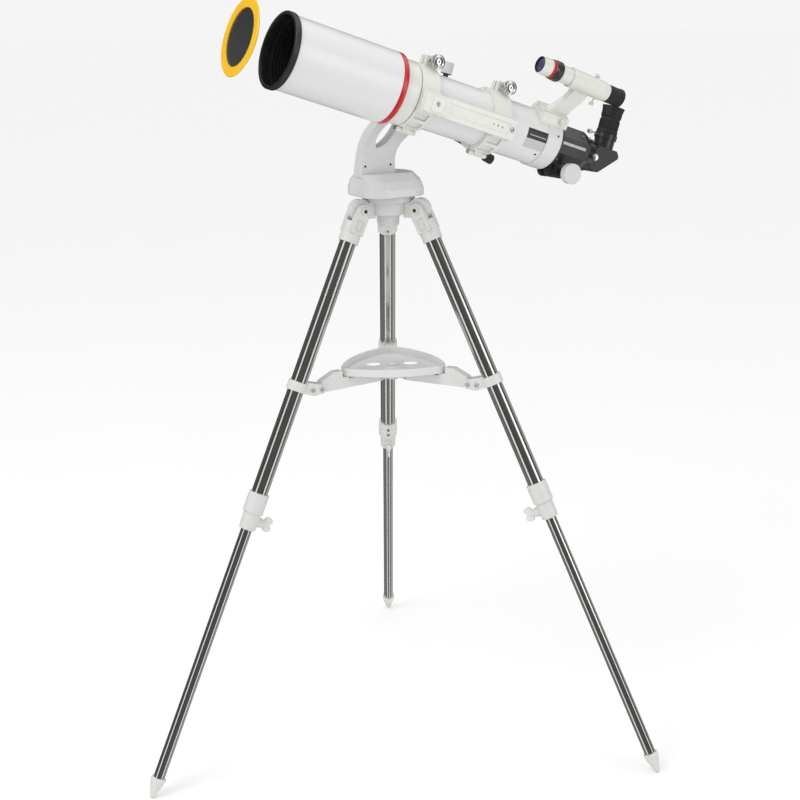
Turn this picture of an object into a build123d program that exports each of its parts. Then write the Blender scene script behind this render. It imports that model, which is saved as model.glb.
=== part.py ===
from build123d import *
import os
from math import sin, cos, tan, radians, degrees, sqrt, atan2

os.makedirs("parts", exist_ok=True)

# ---------------------------------------------------------------- driving dimensions (mm, degrees)
# Frame: +Z up, floor at Z = 0, origin on the tripod's vertical axis at floor level.
# Tripod
LEG_AZIMUTHS = {"left": 210.0, "right": 330.0, "rear": 90.0}
PIVOT_R = 67.4            # radius of the leg pivots from the tripod axis
PIVOT_H = 1090.8          # height of the leg pivots
LEG_TILT = 24.86          # leg angle from the vertical, legs fully spread
UPPER_TUBE_R = 16.0       # 32 mm stainless upper leg tube
LOWER_TUBE_R = 11.0       # 22 mm stainless lower leg tube
TUBE_WALL = 1.2
SOCKET_END = 65.0         # stations below are distances down the leg from its pivot
COLLAR_MID = 358.0
LOCK_TOP, LOCK_STEP, LOCK_END = 576.0, 616.5, 649.6
LOCK_SCREW = 632.0
FOOT_TOP = 1160.5
FOOT_TIP_R = 6.0
PIVOT_BOLT_R = 4.0
KNUCKLE_R = 21.5          # round lug of the head between the cheeks of each yoke
# Spreader and tray
ARM_PIN_R, ARM_PIN_H = 171.0, 755.0     # hinge of each spreader arm at its leg collar
HUB_PIN_R = 32.0                        # hinge of each arm at the hub
TRAY_Z, TRAY_RIM_H = 770.6, 15.5
TRAY_CORNER, TRAY_SIDE = 120.0, 86.0
EYEPIECE_HOLE_R = 15.9                  # holds a 31.75 mm eyepiece
# Mount
HEAD_R = 51.5
AZ_AXLE_R = 10.0
HOUSING_BOTTOM, HOUSING_TOP = 1116.5, 1160.0
OFFSET = 130.9                          # optical axis to azimuth axis
ARM_NEAR, ARM_FAR = 116.0, 146.0        # faces of the arm, measured from the optical axis
ALT_T = -135.0                          # altitude axis, station on the optical axis
ALT_AXLE_R = 12.0
SLOW_KNOB = (-336.0, -55.0, 131.0)      # knob end of the slow-motion stem: station, height, side
SLOW_HUB = (-170.0, -25.0, 131.0)       # where its axis enters the round head of the arm
# Telescope
HEADING, PITCH = 26.0, 18.7             # rest pose of the optical axis
AXIS_POINT = (0.0, -145.6, 1326.0)      # station 0 on the optical axis
TUBE_R, TUBE_T = 52.0, 2.0
DEW_R, DEW_FRONT, DEW_REAR = 66.0, 219.5, 4.5
RIM_R, RIM_FRONT = 69.0, 230.5
CELL_R, CELL_REAR = 59.5, -33.0
LENS_R = 51.0                           # 102 mm clear aperture
RING_R, RING_W = 60.0, 38.0
RING_1, RING_2 = -52.0, -215.0          # mid stations of the two tube rings
HINGE_X = -63.5
KNOB_X = 67.5
REAR_CELL_FRONT, REAR_CELL_END = -327.0, -361.0
DRAW_R = 30.0
PINION_T, PINION_X = -400.0, -49.0
EYEPIECE_T = -497.0
FINDER_ANGLE = -32.0                    # finder position round the tube
FILTER_T = 301.0                        # solar filter, held off ahead of the rim

# ---------------------------------------------------------------- frames
cA, sA = cos(radians(HEADING)), sin(radians(HEADING))
cE, sE = cos(radians(PITCH)), sin(radians(PITCH))
AX = Vector(-cA * cE, -sA * cE, sE)          # optical axis, towards the sky
UP = Vector(cA * sE, sA * sE, cE)            # across the tube, upwards
SIDE = AX.cross(UP)                          # across the tube, towards the mount arm
AHEAD = Vector(-cA, -sA, 0)                  # horizontal heading
P0 = Vector(*AXIS_POINT)


def at(t, x=0.0, y=0.0):
    """Point at station t on the optical axis, x up and y towards the arm."""
    return P0 + AX * t + UP * x + SIDE * y


def cross_plane(t):
    """Plane across the tube: local x up, local y towards the arm, normal to the sky."""
    return Plane(origin=at(t), x_dir=UP, z_dir=AX)


def side_plane(t, x, y):
    """Plane facing the arm: local x forward, local y up."""
    return Plane(origin=at(t, x, y), x_dir=AX, z_dir=SIDE)


def top_plane(t, x, y=0.0):
    """Plane facing up from the tube: local x forward, local y away from the arm."""
    return Plane(origin=at(t, x, y), x_dir=AX, z_dir=UP)


SECTION = Plane(origin=P0, x_dir=UP, z_dir=-SIDE)      # local x radius, local y station
OPTICAL = Axis(P0, AX)
CENTRE = Axis((0, 0, 0), (0, 0, 1))
VERTICAL = Plane(origin=(0, 0, 0), x_dir=(1, 0, 0), z_dir=(0, -1, 0))   # local x radius, local y height


SLOW_AX = (at(*SLOW_HUB) - at(*SLOW_KNOB)).normalized()


def slow_plane(s):
    """Plane across the slow-motion stem, s along it from its knob end."""
    return Plane(origin=at(*SLOW_KNOB) + SLOW_AX * s, x_dir=SIDE, z_dir=SLOW_AX)


def arm_plane(y):
    """Vertical plane parallel to the tube, y from the optical axis: local x ahead, local y height."""
    return Plane(origin=SIDE * (y - OFFSET), x_dir=AHEAD, z_dir=AHEAD.cross(Vector(0, 0, 1)))


def leg_frame(azimuth):
    a, tilt = radians(azimuth), radians(LEG_TILT)
    rho, tau, up = Vector(cos(a), sin(a), 0), Vector(-sin(a), cos(a), 0), Vector(0, 0, 1)
    pivot = rho * PIVOT_R + up * PIVOT_H
    down = rho * sin(tilt) - up * cos(tilt)
    inward = rho * -cos(tilt) - up * sin(tilt)
    return rho, tau, pivot, down, inward


FOOT_SPHERE = (PIVOT_H - FOOT_TIP_R) / cos(radians(LEG_TILT))

# ================================================================ tripod head
with BuildPart() as tripod_head:
    with BuildSketch(VERTICAL):
        with BuildLine():
            Polyline((10.05, 1079.6), (38.5, 1079.6), (40, 1081.2), (40, 1103), (HEAD_R - 2, 1104.2),
                     (HEAD_R, 1106), (HEAD_R, 1114.5), (HEAD_R - 1.5, 1116), (10.05, 1116), close=True)
        make_face()
    revolve(axis=CENTRE)
    # three lugs that carry the leg pivots
    for azimuth in LEG_AZIMUTHS.values():
        rho, tau, pivot, down, inward = leg_frame(azimuth)
        lug = Plane(origin=pivot - tau * 8.6, x_dir=rho, z_dir=tau)
        with BuildSketch(lug):
            Circle(KNUCKLE_R)
            with Locations((-16, 2)):
                Rectangle(32, 30)
        extrude(amount=17.2)
        with BuildSketch(lug):
            Circle(PIVOT_BOLT_R + 0.02)
        extrude(amount=17.2, mode=Mode.SUBTRACT)
tripod_head.part.label = "tripod_head"
export_step(tripod_head.part, "parts/tripod_head.step")

# three pivot bolts with a socket head on one side and a nut on the other
with BuildPart() as leg_pivot_bolts:
    for azimuth in LEG_AZIMUTHS.values():
        rho, tau, pivot, down, inward = leg_frame(azimuth)
        bolt = Plane(origin=pivot, x_dir=rho, z_dir=tau)
        with BuildSketch(bolt.offset(-20.3)):
            Circle(PIVOT_BOLT_R)
        extrude(amount=40.6)
        with BuildSketch(bolt.offset(20.3)):
            Circle(7.2)
        extrude(amount=4.2)
        with BuildSketch(bolt.offset(22.0)):
            RegularPolygon(3.4, 6)
        extrude(amount=2.5, mode=Mode.SUBTRACT)
        with BuildSketch(bolt.offset(-24.5)):
            Circle(7.2)
        extrude(amount=4.2)
        with BuildSketch(bolt.offset(-24.5)):
            RegularPolygon(3.4, 6)
        extrude(amount=2.5, mode=Mode.SUBTRACT)
leg_pivot_bolts.part.label = "leg_pivot_bolts"
export_step(leg_pivot_bolts.part, "parts/leg_pivot_bolts.step")

# ================================================================ legs
for side, azimuth in LEG_AZIMUTHS.items():
    rho, tau, pivot, down, inward = leg_frame(azimuth)
    leg = Plane(origin=pivot, x_dir=inward, z_dir=down)                # across the leg
    flank = Plane(origin=pivot, x_dir=inward, z_dir=tau)               # local y up the leg
    leg_section = Plane(origin=pivot, x_dir=inward, z_dir=inward.cross(down))   # local y down the leg
    leg_axis = Axis(pivot, down)

    # cast yoke: two cheeks on either side of the round head lug, socket for the tube below
    with BuildPart() as leg_yoke:
        with BuildSketch(flank.offset(-20)):
            Circle(12.5)
            with BuildLine():
                Polyline((-12.5, 0), (12.5, 0), (14.5, -14), (14.5, -46), (-14.5, -46), (-14.5, -14), close=True)
            make_face()
        extrude(amount=40)
        with BuildSketch(leg.offset(24.5)):
            Circle(19.6)
        extrude(amount=SOCKET_END - 24.5)
        # open slot for the lug
        with BuildSketch(flank.offset(-9.2)):
            with Locations((0, 10)):
                Rectangle(60, 69)
        extrude(amount=18.4, mode=Mode.SUBTRACT)
        # pivot bore
        with BuildSketch(flank.offset(-21)):
            Circle(PIVOT_BOLT_R + 0.06)
        extrude(amount=42, mode=Mode.SUBTRACT)
        # socket bore
        with BuildSketch(leg.offset(28)):
            Circle(UPPER_TUBE_R)
        extrude(amount=60, mode=Mode.SUBTRACT)
        # raised ribs on the cheek faces
        for s in (-1, 1):
            with BuildSketch(flank.offset(20 if s > 0 else -21.2)):
                with Locations((0, -30)):
                    Rectangle(13, 22)
                with Locations((0, -30)):
                    Rectangle(10, 19, mode=Mode.SUBTRACT)
            extrude(amount=1.2)
    leg_yoke.part.label = f"leg_yoke_{side}"
    export_step(leg_yoke.part, f"parts/leg_yoke_{side}.step")

    # stainless upper tube
    with BuildPart() as upper_leg:
        with BuildSketch(leg.offset(28)):
            Circle(UPPER_TUBE_R)
            Circle(UPPER_TUBE_R - TUBE_WALL, mode=Mode.SUBTRACT)
        extrude(amount=612 - 28)
    upper_leg.part.label = f"upper_leg_{side}"
    export_step(upper_leg.part, f"parts/upper_leg_{side}.step")

    # clamp collar round the upper tube with two ears for the spreader arm, and its hinge pin
    pin = pivot + rho * (ARM_PIN_R - PIVOT_R) + Vector(0, 0, ARM_PIN_H - PIVOT_H)
    rz = Plane(origin=pin, x_dir=rho, z_dir=-tau)      # vertical radial plane: local x outward, local y up
    with BuildPart() as spreader_collar:
        with BuildSketch(rz.offset(-13)):
            with BuildLine():
                Polyline((0, -9.5), (15, -11), (24, -9), (38, -3), (46, 14), (38, 20), (24, 16), (0, 9.5), close=True)
            make_face()
            Circle(9.5)
        extrude(amount=26)
        with BuildSketch(leg.offset(COLLAR_MID - 9.3)):
            Circle(19.8)
        extrude(amount=18.6)
        with BuildSketch(rz.offset(-9)):
            with BuildLine():
                Polyline((-12, -16), (23, -16), (23, 22), (-12, 22), close=True)
            make_face()
        extrude(amount=18, mode=Mode.SUBTRACT)
        with BuildSketch(leg.offset(COLLAR_MID - 60)):
            Circle(UPPER_TUBE_R)
        extrude(amount=120, mode=Mode.SUBTRACT)
        # trim whatever stands outside the band
        with BuildSketch(leg.offset(COLLAR_MID - 60)):
            with Locations((-40, 0)):
                Rectangle(80, 60)
        extrude(amount=60 - 9.3, mode=Mode.SUBTRACT)
        with BuildSketch(leg.offset(COLLAR_MID + 9.3)):
            with Locations((-40, 0)):
                Rectangle(80, 60)
        extrude(amount=60, mode=Mode.SUBTRACT)
        with BuildSketch(rz.offset(-14)):
            Circle(3.02)
            with Locations((20, 1)):
                Circle(2.6)
        extrude(amount=28, mode=Mode.SUBTRACT)
        # hinge pin and clamp bolt
        with BuildSketch(rz.offset(-14.5)):
            Circle(3.0)
        extrude(amount=29)
        with BuildSketch(rz.offset(-14.5)):
            with Locations((20, 1)):
                Circle(2.5)
        extrude(amount=29)
        for z0 in (-15.6, 13.2):
            with BuildSketch(rz.offset(z0)):
                Circle(4.6)
                with Locations((20, 1)):
                    Circle(4.6)
            extrude(amount=2.4)
    spreader_collar.part.label = f"spreader_collar_{side}"
    export_step(spreader_collar.part, f"parts/spreader_collar_{side}.step")

    # cast leg lock: stepped sleeve with a threaded boss on its inner side
    with BuildPart() as leg_lock:
        with BuildSketch(leg_section):
            with BuildLine():
                Polyline((LOWER_TUBE_R + 0.08, 612.3), (16.02, 612.3), (16.02, LOCK_TOP), (19.0, LOCK_TOP),
                         (20.0, LOCK_TOP + 1.2), (20.0, LOCK_STEP - 2), (18.8, LOCK_STEP), (16.8, LOCK_STEP + 0.6),
                         (16.4, LOCK_END - 3), (15.2, LOCK_END), (LOWER_TUBE_R + 0.08, LOCK_END), close=True)
            make_face()
        revolve(axis=leg_axis)
        boss = Plane(origin=pivot + down * LOCK_SCREW, x_dir=down, z_dir=inward)
        with BuildSketch(boss.offset(13)):
            Circle(10.5)
        extrude(amount=12.5, taper=6)
        with BuildSketch(boss.offset(8)):
            Circle(3.06)
        extrude(amount=20, mode=Mode.SUBTRACT)
        with BuildSketch(leg.offset(612.3)):
            Circle(LOWER_TUBE_R + 0.08)
        extrude(amount=60, mode=Mode.SUBTRACT)
    leg_lock.part.label = f"leg_lock_{side}"
    export_step(leg_lock.part, f"parts/leg_lock_{side}.step")

    # wing knob that locks the lower leg
    with BuildPart() as wing_knob:
        with BuildSketch(boss.offset(11.2)):
            Circle(3.0)
        extrude(amount=22)
        with BuildSketch(boss.offset(26.2)):
            Circle(6.2)
        extrude(amount=10, taper=8)
        wing = Plane(origin=pivot + down * LOCK_SCREW - tau * 2.6, x_dir=down, z_dir=tau)   # local y outward from the leg
        with BuildSketch(wing):
            with BuildLine():
                Polyline((-5, 30), (-13.5, 35), (-14.5, 41), (-12, 48), (-6, 50), (0, 44.5), (6, 50),
                         (12, 48), (14.5, 41), (13.5, 35), (5, 30), close=True)
            make_face()
            fillet(vertices(), 1.6)
        extrude(amount=5.2)
    wing_knob.part.label = f"wing_knob_{side}"
    export_step(wing_knob.part, f"parts/wing_knob_{side}.step")

    # stainless lower tube with the guide bush at its upper end
    with BuildPart() as lower_leg:
        with BuildSketch(leg_section):
            with BuildLine():
                Polyline((LOWER_TUBE_R - 1.0, 578), (14.4, 578), (14.4, 596), (LOWER_TUBE_R, 596),
                         (LOWER_TUBE_R, 1171), (LOWER_TUBE_R - 1.0, 1171), close=True)
            make_face()
        revolve(axis=leg_axis)
    lower_leg.part.label = f"lower_leg_{side}"
    export_step(lower_leg.part, f"parts/lower_leg_{side}.step")

    # moulded foot with a rounded tip that stands on the floor
    with BuildPart() as foot:
        with BuildSketch(leg_section):
            with BuildLine():
                l1 = Polyline((LOWER_TUBE_R + 0.02, FOOT_TOP), (13.8, FOOT_TOP), (14.75, FOOT_TOP + 1), (14.75, FOOT_TOP + 6),
                              (13.4, FOOT_TOP + 8), (12.4, FOOT_TOP + 16), (9.6, FOOT_TOP + 22), (8.2, FOOT_TOP + 27),
                              (FOOT_TIP_R, FOOT_SPHERE))
                RadiusArc(l1 @ 1, (0, FOOT_SPHERE + FOOT_TIP_R), -FOOT_TIP_R)
                Polyline((0, FOOT_SPHERE + FOOT_TIP_R), (0, 1171.2), (LOWER_TUBE_R + 0.02, 1171.2), (LOWER_TUBE_R + 0.02, FOOT_TOP))
            make_face()
        revolve(axis=leg_axis)
    foot.part.label = f"foot_{side}"
    export_step(foot.part, f"parts/foot_{side}.step")

    # spreader arm: deep channel open below, shoulder and notch for the tray's corner
    hub_x = HUB_PIN_R - ARM_PIN_R
    with BuildPart() as spreader_arm:
        with BuildSketch(rz.offset(-8.5)):
            with BuildLine():
                Polyline((0, -8.5), (0, 8.5), (-4, 14), (-10, 17), (-33, 28), (-50.5, 28), (-50.5, 15), (-64, 15),
                         (-64, 11), (-118, 11), (-124, 6), (hub_x, 6), (hub_x, -6), (0, -8.5), close=True)
            make_face()
            Circle(8.5)
            with Locations((hub_x, 0)):
                Circle(6)
        extrude(amount=17)
        # hollow of the channel
        with BuildSketch(rz.offset(-6.3)):
            with BuildLine():
                Polyline((-3, -20), (-9, 8), (-14, 13), (-34, 24), (-45.5, 24), (-48, 11.5), (-62, 11.5), (-66, 8.6),
                         (-112, 8.6), (-114, 20), (-160, 20), (-160, -20), close=True)
            make_face()
        extrude(amount=12.6, mode=Mode.SUBTRACT)
        with BuildSketch(rz.offset(-10)):
            Circle(3.06)
            with Locations((hub_x, 0)):
                Circle(3.4)
        extrude(amount=20, mode=Mode.SUBTRACT)
    spreader_arm.part.label = f"spreader_arm_{side}"
    export_step(spreader_arm.part, f"parts/spreader_arm_{side}.step")

# ================================================================ spreader hub and tray
with BuildPart() as spreader_hub:
    with BuildSketch(Plane.XY.offset(768.3)):
        Circle(26)
    extrude(amount=TRAY_Z - 768.3)
    with BuildSketch(Plane.XY.offset(747)):
        Circle(11)
    extrude(amount=22)
    for azimuth in LEG_AZIMUTHS.values():
        rho, tau, pivot, down, inward = leg_frame(azimuth)
        with BuildSketch(Plane(origin=tau * 5.0, x_dir=rho, z_dir=-tau)):
            with BuildLine():
                Polyline((8, 750.5), (HUB_PIN_R, 750.5), (HUB_PIN_R, 768.6), (8, 768.6), close=True)
            make_face()
            with Locations((HUB_PIN_R, 757)):
                Circle(6.0)
        extrude(amount=10.0)
    with BuildSketch(Plane.XY.offset(TRAY_Z - 0.2)):
        Circle(6)
    extrude(amount=5)
spreader_hub.part.label = "spreader_hub"
export_step(spreader_hub.part, "parts/spreader_hub.step")

with BuildPart() as accessory_tray:
    corners = [(TRAY_CORNER * cos(radians(a)), TRAY_CORNER * sin(radians(a))) for a in (90, 210, 330)]
    mids = [(TRAY_SIDE * cos(radians(a)), TRAY_SIDE * sin(radians(a))) for a in (150, 270, 30)]
    with BuildSketch(Plane.XY.offset(TRAY_Z)) as outline:
        with BuildLine():
            ThreePointArc(corners[0], mids[0], corners[1])
            ThreePointArc(corners[1], mids[1], corners[2])
            ThreePointArc(corners[2], mids[2], corners[0])
        make_face()
        fillet(outline.vertices(), 26)
    extrude(amount=TRAY_RIM_H)
    fillet(accessory_tray.faces().sort_by(Axis.Z)[0].edges(), 1.6)
    with BuildSketch(Plane.XY.offset(TRAY_Z + 2.6)) as dish:
        with BuildLine():
            ThreePointArc(*[(x * 0.955, y * 0.955) for x, y in (corners[0], mids[0], corners[1])])
            ThreePointArc(*[(x * 0.955, y * 0.955) for x, y in (corners[1], mids[1], corners[2])])
            ThreePointArc(*[(x * 0.955, y * 0.955) for x, y in (corners[2], mids[2], corners[0])])
        make_face()
        fillet(dish.vertices(), 24)
    extrude(amount=TRAY_RIM_H, mode=Mode.SUBTRACT)
    fillet(accessory_tray.faces().sort_by(Axis.Z)[-1].edges(), 1.2)
    with BuildSketch(Plane.XY.offset(TRAY_Z - 1)):
        for a in (150, 30):
            with Locations((43 * cos(radians(a)), 43 * sin(radians(a)))):
                Circle(EYEPIECE_HOLE_R)
        Circle(6.05)
    extrude(amount=6, mode=Mode.SUBTRACT)
    # low collar round the centre stud
    with BuildSketch(Plane.XY.offset(TRAY_Z + 2.6)):
        Circle(13)
        Circle(6.05, mode=Mode.SUBTRACT)
    extrude(amount=2.0, taper=10)
accessory_tray.part.label = "accessory_tray"
export_step(accessory_tray.part, "parts/accessory_tray.step")

# ================================================================ azimuth stage and arm
with BuildPart() as azimuth_axle:
    with BuildSketch(VERTICAL):
        with BuildLine():
            Polyline((0, 1056), (17, 1056), (19.5, 1058.5), (20, 1072), (22.5, 1074), (22.5, 1077.5), (21, 1079), (AZ_AXLE_R, 1079),
                     (AZ_AXLE_R, 1140), (0, 1140), close=True)
        make_face()
    revolve(axis=CENTRE)
azimuth_axle.part.label = "azimuth_axle"
export_step(azimuth_axle.part, "parts/azimuth_axle.step")

hub_h = P0.dot(AHEAD) + ALT_T * cE
hub_z = P0.Z + ALT_T * sE
HUB_R = 46.0
k = sqrt(0.5)
with BuildPart() as mount_arm:
    with BuildSketch(arm_plane(ARM_NEAR)):
        with BuildLine():
            front = Spline((68, 1154), (66.8, 1172), (63.5, 1190), (54.5, 1221), (35.5, 1248.5), (12, 1270),
                           (-9, 1291), (hub_h + HUB_R * k, hub_z + HUB_R * k))
            crown = ThreePointArc((hub_h + HUB_R * k, hub_z + HUB_R * k), (hub_h - HUB_R * k, hub_z + HUB_R * k),
                                  (hub_h - HUB_R * 0.42, hub_z - HUB_R * 0.9075))
            back = Spline((hub_h - HUB_R * 0.42, hub_z - HUB_R * 0.9075), (-62, 1235.5), (-44, 1229.5), (-27, 1217), (-14, 1201.5),
                          (-8.8, 1181), (-11, 1154))
            Line((-11, 1154), (68, 1154))
        make_face()
        # leaf-shaped opening
        with BuildLine():
            Spline((32, 1208.5), (33.3, 1218), (28.5, 1230), (17, 1243), (1.8, 1254.5), (-13, 1262), (-24, 1264))
            Spline((-24, 1264), (-21, 1252), (-12.8, 1239.2), (2.7, 1222.5), (18, 1212), (32, 1208.5))
        make_face(mode=Mode.SUBTRACT)
    extrude(amount=ARM_FAR - ARM_NEAR)
mount_arm_faces = mount_arm.part
with BuildPart() as mount_arm:
    add(mount_arm_faces)
    flat = [f for f in mount_arm.faces() if abs(f.normal_at().dot(SIDE)) > 0.99]
    outer = []
    for f in flat:
        outer += list(f.outer_wire().edges())
    fillet([e for e in outer if e.center().Z > 1156], 4.0)
    axle_hole = Plane(origin=at(ALT_T, 0, ARM_NEAR - 1), x_dir=AX, z_dir=SIDE)
    with BuildSketch(axle_hole):
        Circle(ALT_AXLE_R + 0.06)
    extrude(amount=ARM_FAR - ARM_NEAR + 2, mode=Mode.SUBTRACT)
    # two counterbored screws at the foot
    for h, z in ((56.9, 1174.5), (2.3, 1174.9)):
        with BuildSketch(Plane(origin=SIDE * (ARM_NEAR - OFFSET - 1) + AHEAD * h + Vector(0, 0, z), x_dir=AHEAD, z_dir=SIDE)):
            Circle(2.2)
        extrude(amount=9, mode=Mode.SUBTRACT)
    # bore for the slow-motion stem, in the rear rim of the round head
    with BuildSketch(slow_plane(156)):
        Circle(4.06)
    extrude(amount=24, mode=Mode.SUBTRACT)
mount_arm.part.label = "mount_arm"
export_step(mount_arm.part, "parts/mount_arm.step")

H0 = 6.0      # centre of the housing, ahead of the azimuth axis
stage = Plane(origin=(0, 0, 0), x_dir=AHEAD, z_dir=(0, 0, 1))
with BuildPart() as azimuth_housing:
    # upright skirt, then sloping shoulders up to the seat of the arm
    with BuildSketch(stage.offset(HOUSING_BOTTOM)):
        with Locations((H0, 0)):
            RectangleRounded(127, 127, 36)
    extrude(amount=1131 - HOUSING_BOTTOM)
    chamfer(azimuth_housing.faces().sort_by(Axis.Z)[0].edges(), 1.5)
    for z, dx, lx, ly, r in ((1131, 0, 127, 127, 36), (1147, 1, 121, 112, 34), (HOUSING_TOP, 3.5, 108, 76, 28)):
        with BuildSketch(stage.offset(z)):
            with Locations((H0 + dx, 0)):
                RectangleRounded(lx, ly, r)
    loft(ruled=True)
    with BuildSketch(stage.offset(HOUSING_BOTTOM)):
        with Locations((H0, 0)):
            RectangleRounded(112, 112, 32)
    extrude(amount=13, mode=Mode.SUBTRACT)
    with BuildSketch(stage.offset(HOUSING_BOTTOM)):
        Circle(46)
        Circle(AZ_AXLE_R + 0.02, mode=Mode.SUBTRACT)
    extrude(amount=14)
    with BuildSketch(stage.offset(HOUSING_BOTTOM)):
        Circle(AZ_AXLE_R + 0.02)
    extrude(amount=24, mode=Mode.SUBTRACT)
    # pocket in which the arm is seated
    add(mount_arm.part, mode=Mode.SUBTRACT)
azimuth_housing.part.label = "azimuth_housing"
export_step(azimuth_housing.part, "parts/azimuth_housing.step")

# altitude axle with its end cap on the far side of the arm
with BuildPart() as altitude_axle:
    with BuildSketch(side_plane(ALT_T, 0, 99)):
        Circle(ALT_AXLE_R)
    extrude(amount=52)
    with BuildSketch(side_plane(ALT_T, 0, ARM_FAR + 0.6)):
        Circle(29)
    extrude(amount=8, taper=14)
altitude_axle.part.label = "altitude_axle"
export_step(altitude_axle.part, "parts/altitude_axle.step")

# saddle: bearing disc, block and two jaws round the dovetail bar
with BuildPart() as saddle:
    with BuildSketch(side_plane(ALT_T, 0, 95)):
        Circle(40)
    extrude(amount=20.4)
    with BuildSketch(side_plane(ALT_T, 0, 78.4)):
        RectangleRounded(84, 62, 7)
    extrude(amount=18)
    with BuildSketch(side_plane(ALT_T, 0, 67.4)):
        with Locations((0, 27.2), (0, -27.2)):
            RectangleRounded(80, 7.4, 3)
    extrude(amount=12)
    with BuildSketch(side_plane(ALT_T, 0, 98)):
        Circle(ALT_AXLE_R)
    extrude(amount=20, mode=Mode.SUBTRACT)
    # threaded boss for the clamp knob on the upper jaw
    with BuildSketch(top_plane(ALT_T - 15, 29, 76)):
        Circle(8)
    extrude(amount=8)
    with BuildSketch(top_plane(ALT_T - 15, 22, 76)):
        Circle(3.06)
    extrude(amount=20, mode=Mode.SUBTRACT)
saddle.part.label = "saddle"
export_step(saddle.part, "parts/saddle.step")

# saddle clamp knob: ribbed head on a threaded stem with a dark collar
with BuildPart() as saddle_knob:
    with BuildSketch(top_plane(ALT_T - 15, 23.2, 76)):
        Circle(3)
    extrude(amount=46)
    with BuildSketch(top_plane(ALT_T - 15, 60, 76)):
        Circle(5)
    extrude(amount=9)
    with BuildSketch(top_plane(ALT_T - 15, 68, 76)):
        Circle(10.8)
        with PolarLocations(11.3, 18):
            Circle(0.95, mode=Mode.SUBTRACT)
    extrude(amount=22)
    chamfer(saddle_knob.faces().sort_by(Axis(P0, UP))[-1].edges(), 0.6)
saddle_knob.part.label = "saddle_knob"
export_step(saddle_knob.part, "parts/saddle_knob.step")

# altitude slow-motion control: long stem with a round knob, turning in the head of the arm
with BuildPart() as slow_motion_knob:
    with BuildSketch(slow_plane(160)):
        Circle(4.0)
    extrude(amount=18)
    with BuildSketch(slow_plane(14)):
        Circle(3.4)
    extrude(amount=147)
    with BuildSketch(slow_plane(0)):
        Circle(10)
    extrude(amount=18)
    chamfer(slow_motion_knob.faces().sort_by(Axis(at(*SLOW_KNOB), SLOW_AX))[0].edges(), 1.2)
slow_motion_knob.part.label = "slow_motion_knob"
export_step(slow_motion_knob.part, "parts/slow_motion_knob.step")

# ================================================================ dovetail bar and tube rings
with BuildPart() as dovetail_bar:
    with BuildSketch(cross_plane(-240)):
        with BuildLine():
            Polyline((-19, 66), (19, 66), (23, 78), (-23, 78), close=True)
        make_face()
    extrude(amount=212)
    chamfer(dovetail_bar.faces().sort_by(OPTICAL)[0].edges() + dovetail_bar.faces().sort_by(OPTICAL)[-1].edges(), 1.0)
dovetail_bar.part.label = "dovetail_bar"
export_step(dovetail_bar.part, "parts/dovetail_bar.step")

# fixed half of each ring: cradle bolted to the dovetail bar, with the far ear and hinge knuckles
with BuildPart() as ring_fixed_halves:
    for mid in (RING_1, RING_2):
        rear = mid - RING_W / 2
        with BuildSketch(cross_plane(rear)):
            Circle(RING_R)
            with Locations((0, 60)):
                Rectangle(40, 12)
        extrude(amount=RING_W)
        # far ear of the clamp block at the rear of the band
        with BuildSketch(cross_plane(rear)):
            with Locations((66.5, 6.2)):
                Rectangle(21, 10.6)
        extrude(amount=19)
        # outer knuckles of the hinge
        for z0 in (rear, rear + RING_W - 10):
            with BuildSketch(cross_plane(z0)):
                with Locations((HINGE_X, 0)):
                    Circle(5.2)
                with Locations((HINGE_X + 4, 4)):
                    Rectangle(9, 7)
            extrude(amount=10)
        # bore for the tube
        with BuildSketch(cross_plane(rear - 1)):
            Circle(TUBE_R)
        extrude(amount=RING_W + 2, mode=Mode.SUBTRACT)
        # everything on the near side belongs to the hinged half
        with BuildSketch(cross_plane(rear - 1)):
            with Locations((9, -50.6)):
                Rectangle(160, 102.8)
        extrude(amount=RING_W + 2, mode=Mode.SUBTRACT)
        # room for the middle knuckle of the hinged half
        with BuildSketch(cross_plane(rear + 10)):
            with Locations((HINGE_X, 0)):
                Circle(6.2)
        extrude(amount=RING_W - 20, mode=Mode.SUBTRACT)
        for z0 in (rear, rear + RING_W - 10):
            with BuildSketch(cross_plane(z0)):
                with Locations((HINGE_X, 0)):
                    Circle(5.2)
            extrude(amount=10)
        with BuildSketch(cross_plane(rear - 1)):
            with Locations((HINGE_X, 0)):
                Circle(2.5)
        extrude(amount=RING_W + 2, mode=Mode.SUBTRACT)
        # clearance hole for the clamp screw
        with BuildSketch(side_plane(rear + 9.5, KNOB_X, -2)):
            Circle(5.2)
        extrude(amount=20, mode=Mode.SUBTRACT)
ring_fixed_halves.part.label = "ring_fixed_halves"
export_step(ring_fixed_halves.part, "parts/ring_fixed_halves.step")

with BuildPart() as ring_hinge_pins:
    for mid in (RING_1, RING_2):
        with BuildSketch(cross_plane(mid - RING_W / 2 - 1.5)):
            with Locations((HINGE_X, 0)):
                Circle(2.48)
        extrude(amount=RING_W + 3)
        for z0 in (mid - RING_W / 2 - 2.6, mid + RING_W / 2 + 0.4):
            with BuildSketch(cross_plane(z0)):
                with Locations((HINGE_X, 0)):
                    Circle(3.8)
            extrude(amount=2.2)
ring_hinge_pins.part.label = "ring_hinge_pins"
export_step(ring_hinge_pins.part, "parts/ring_hinge_pins.step")

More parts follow.
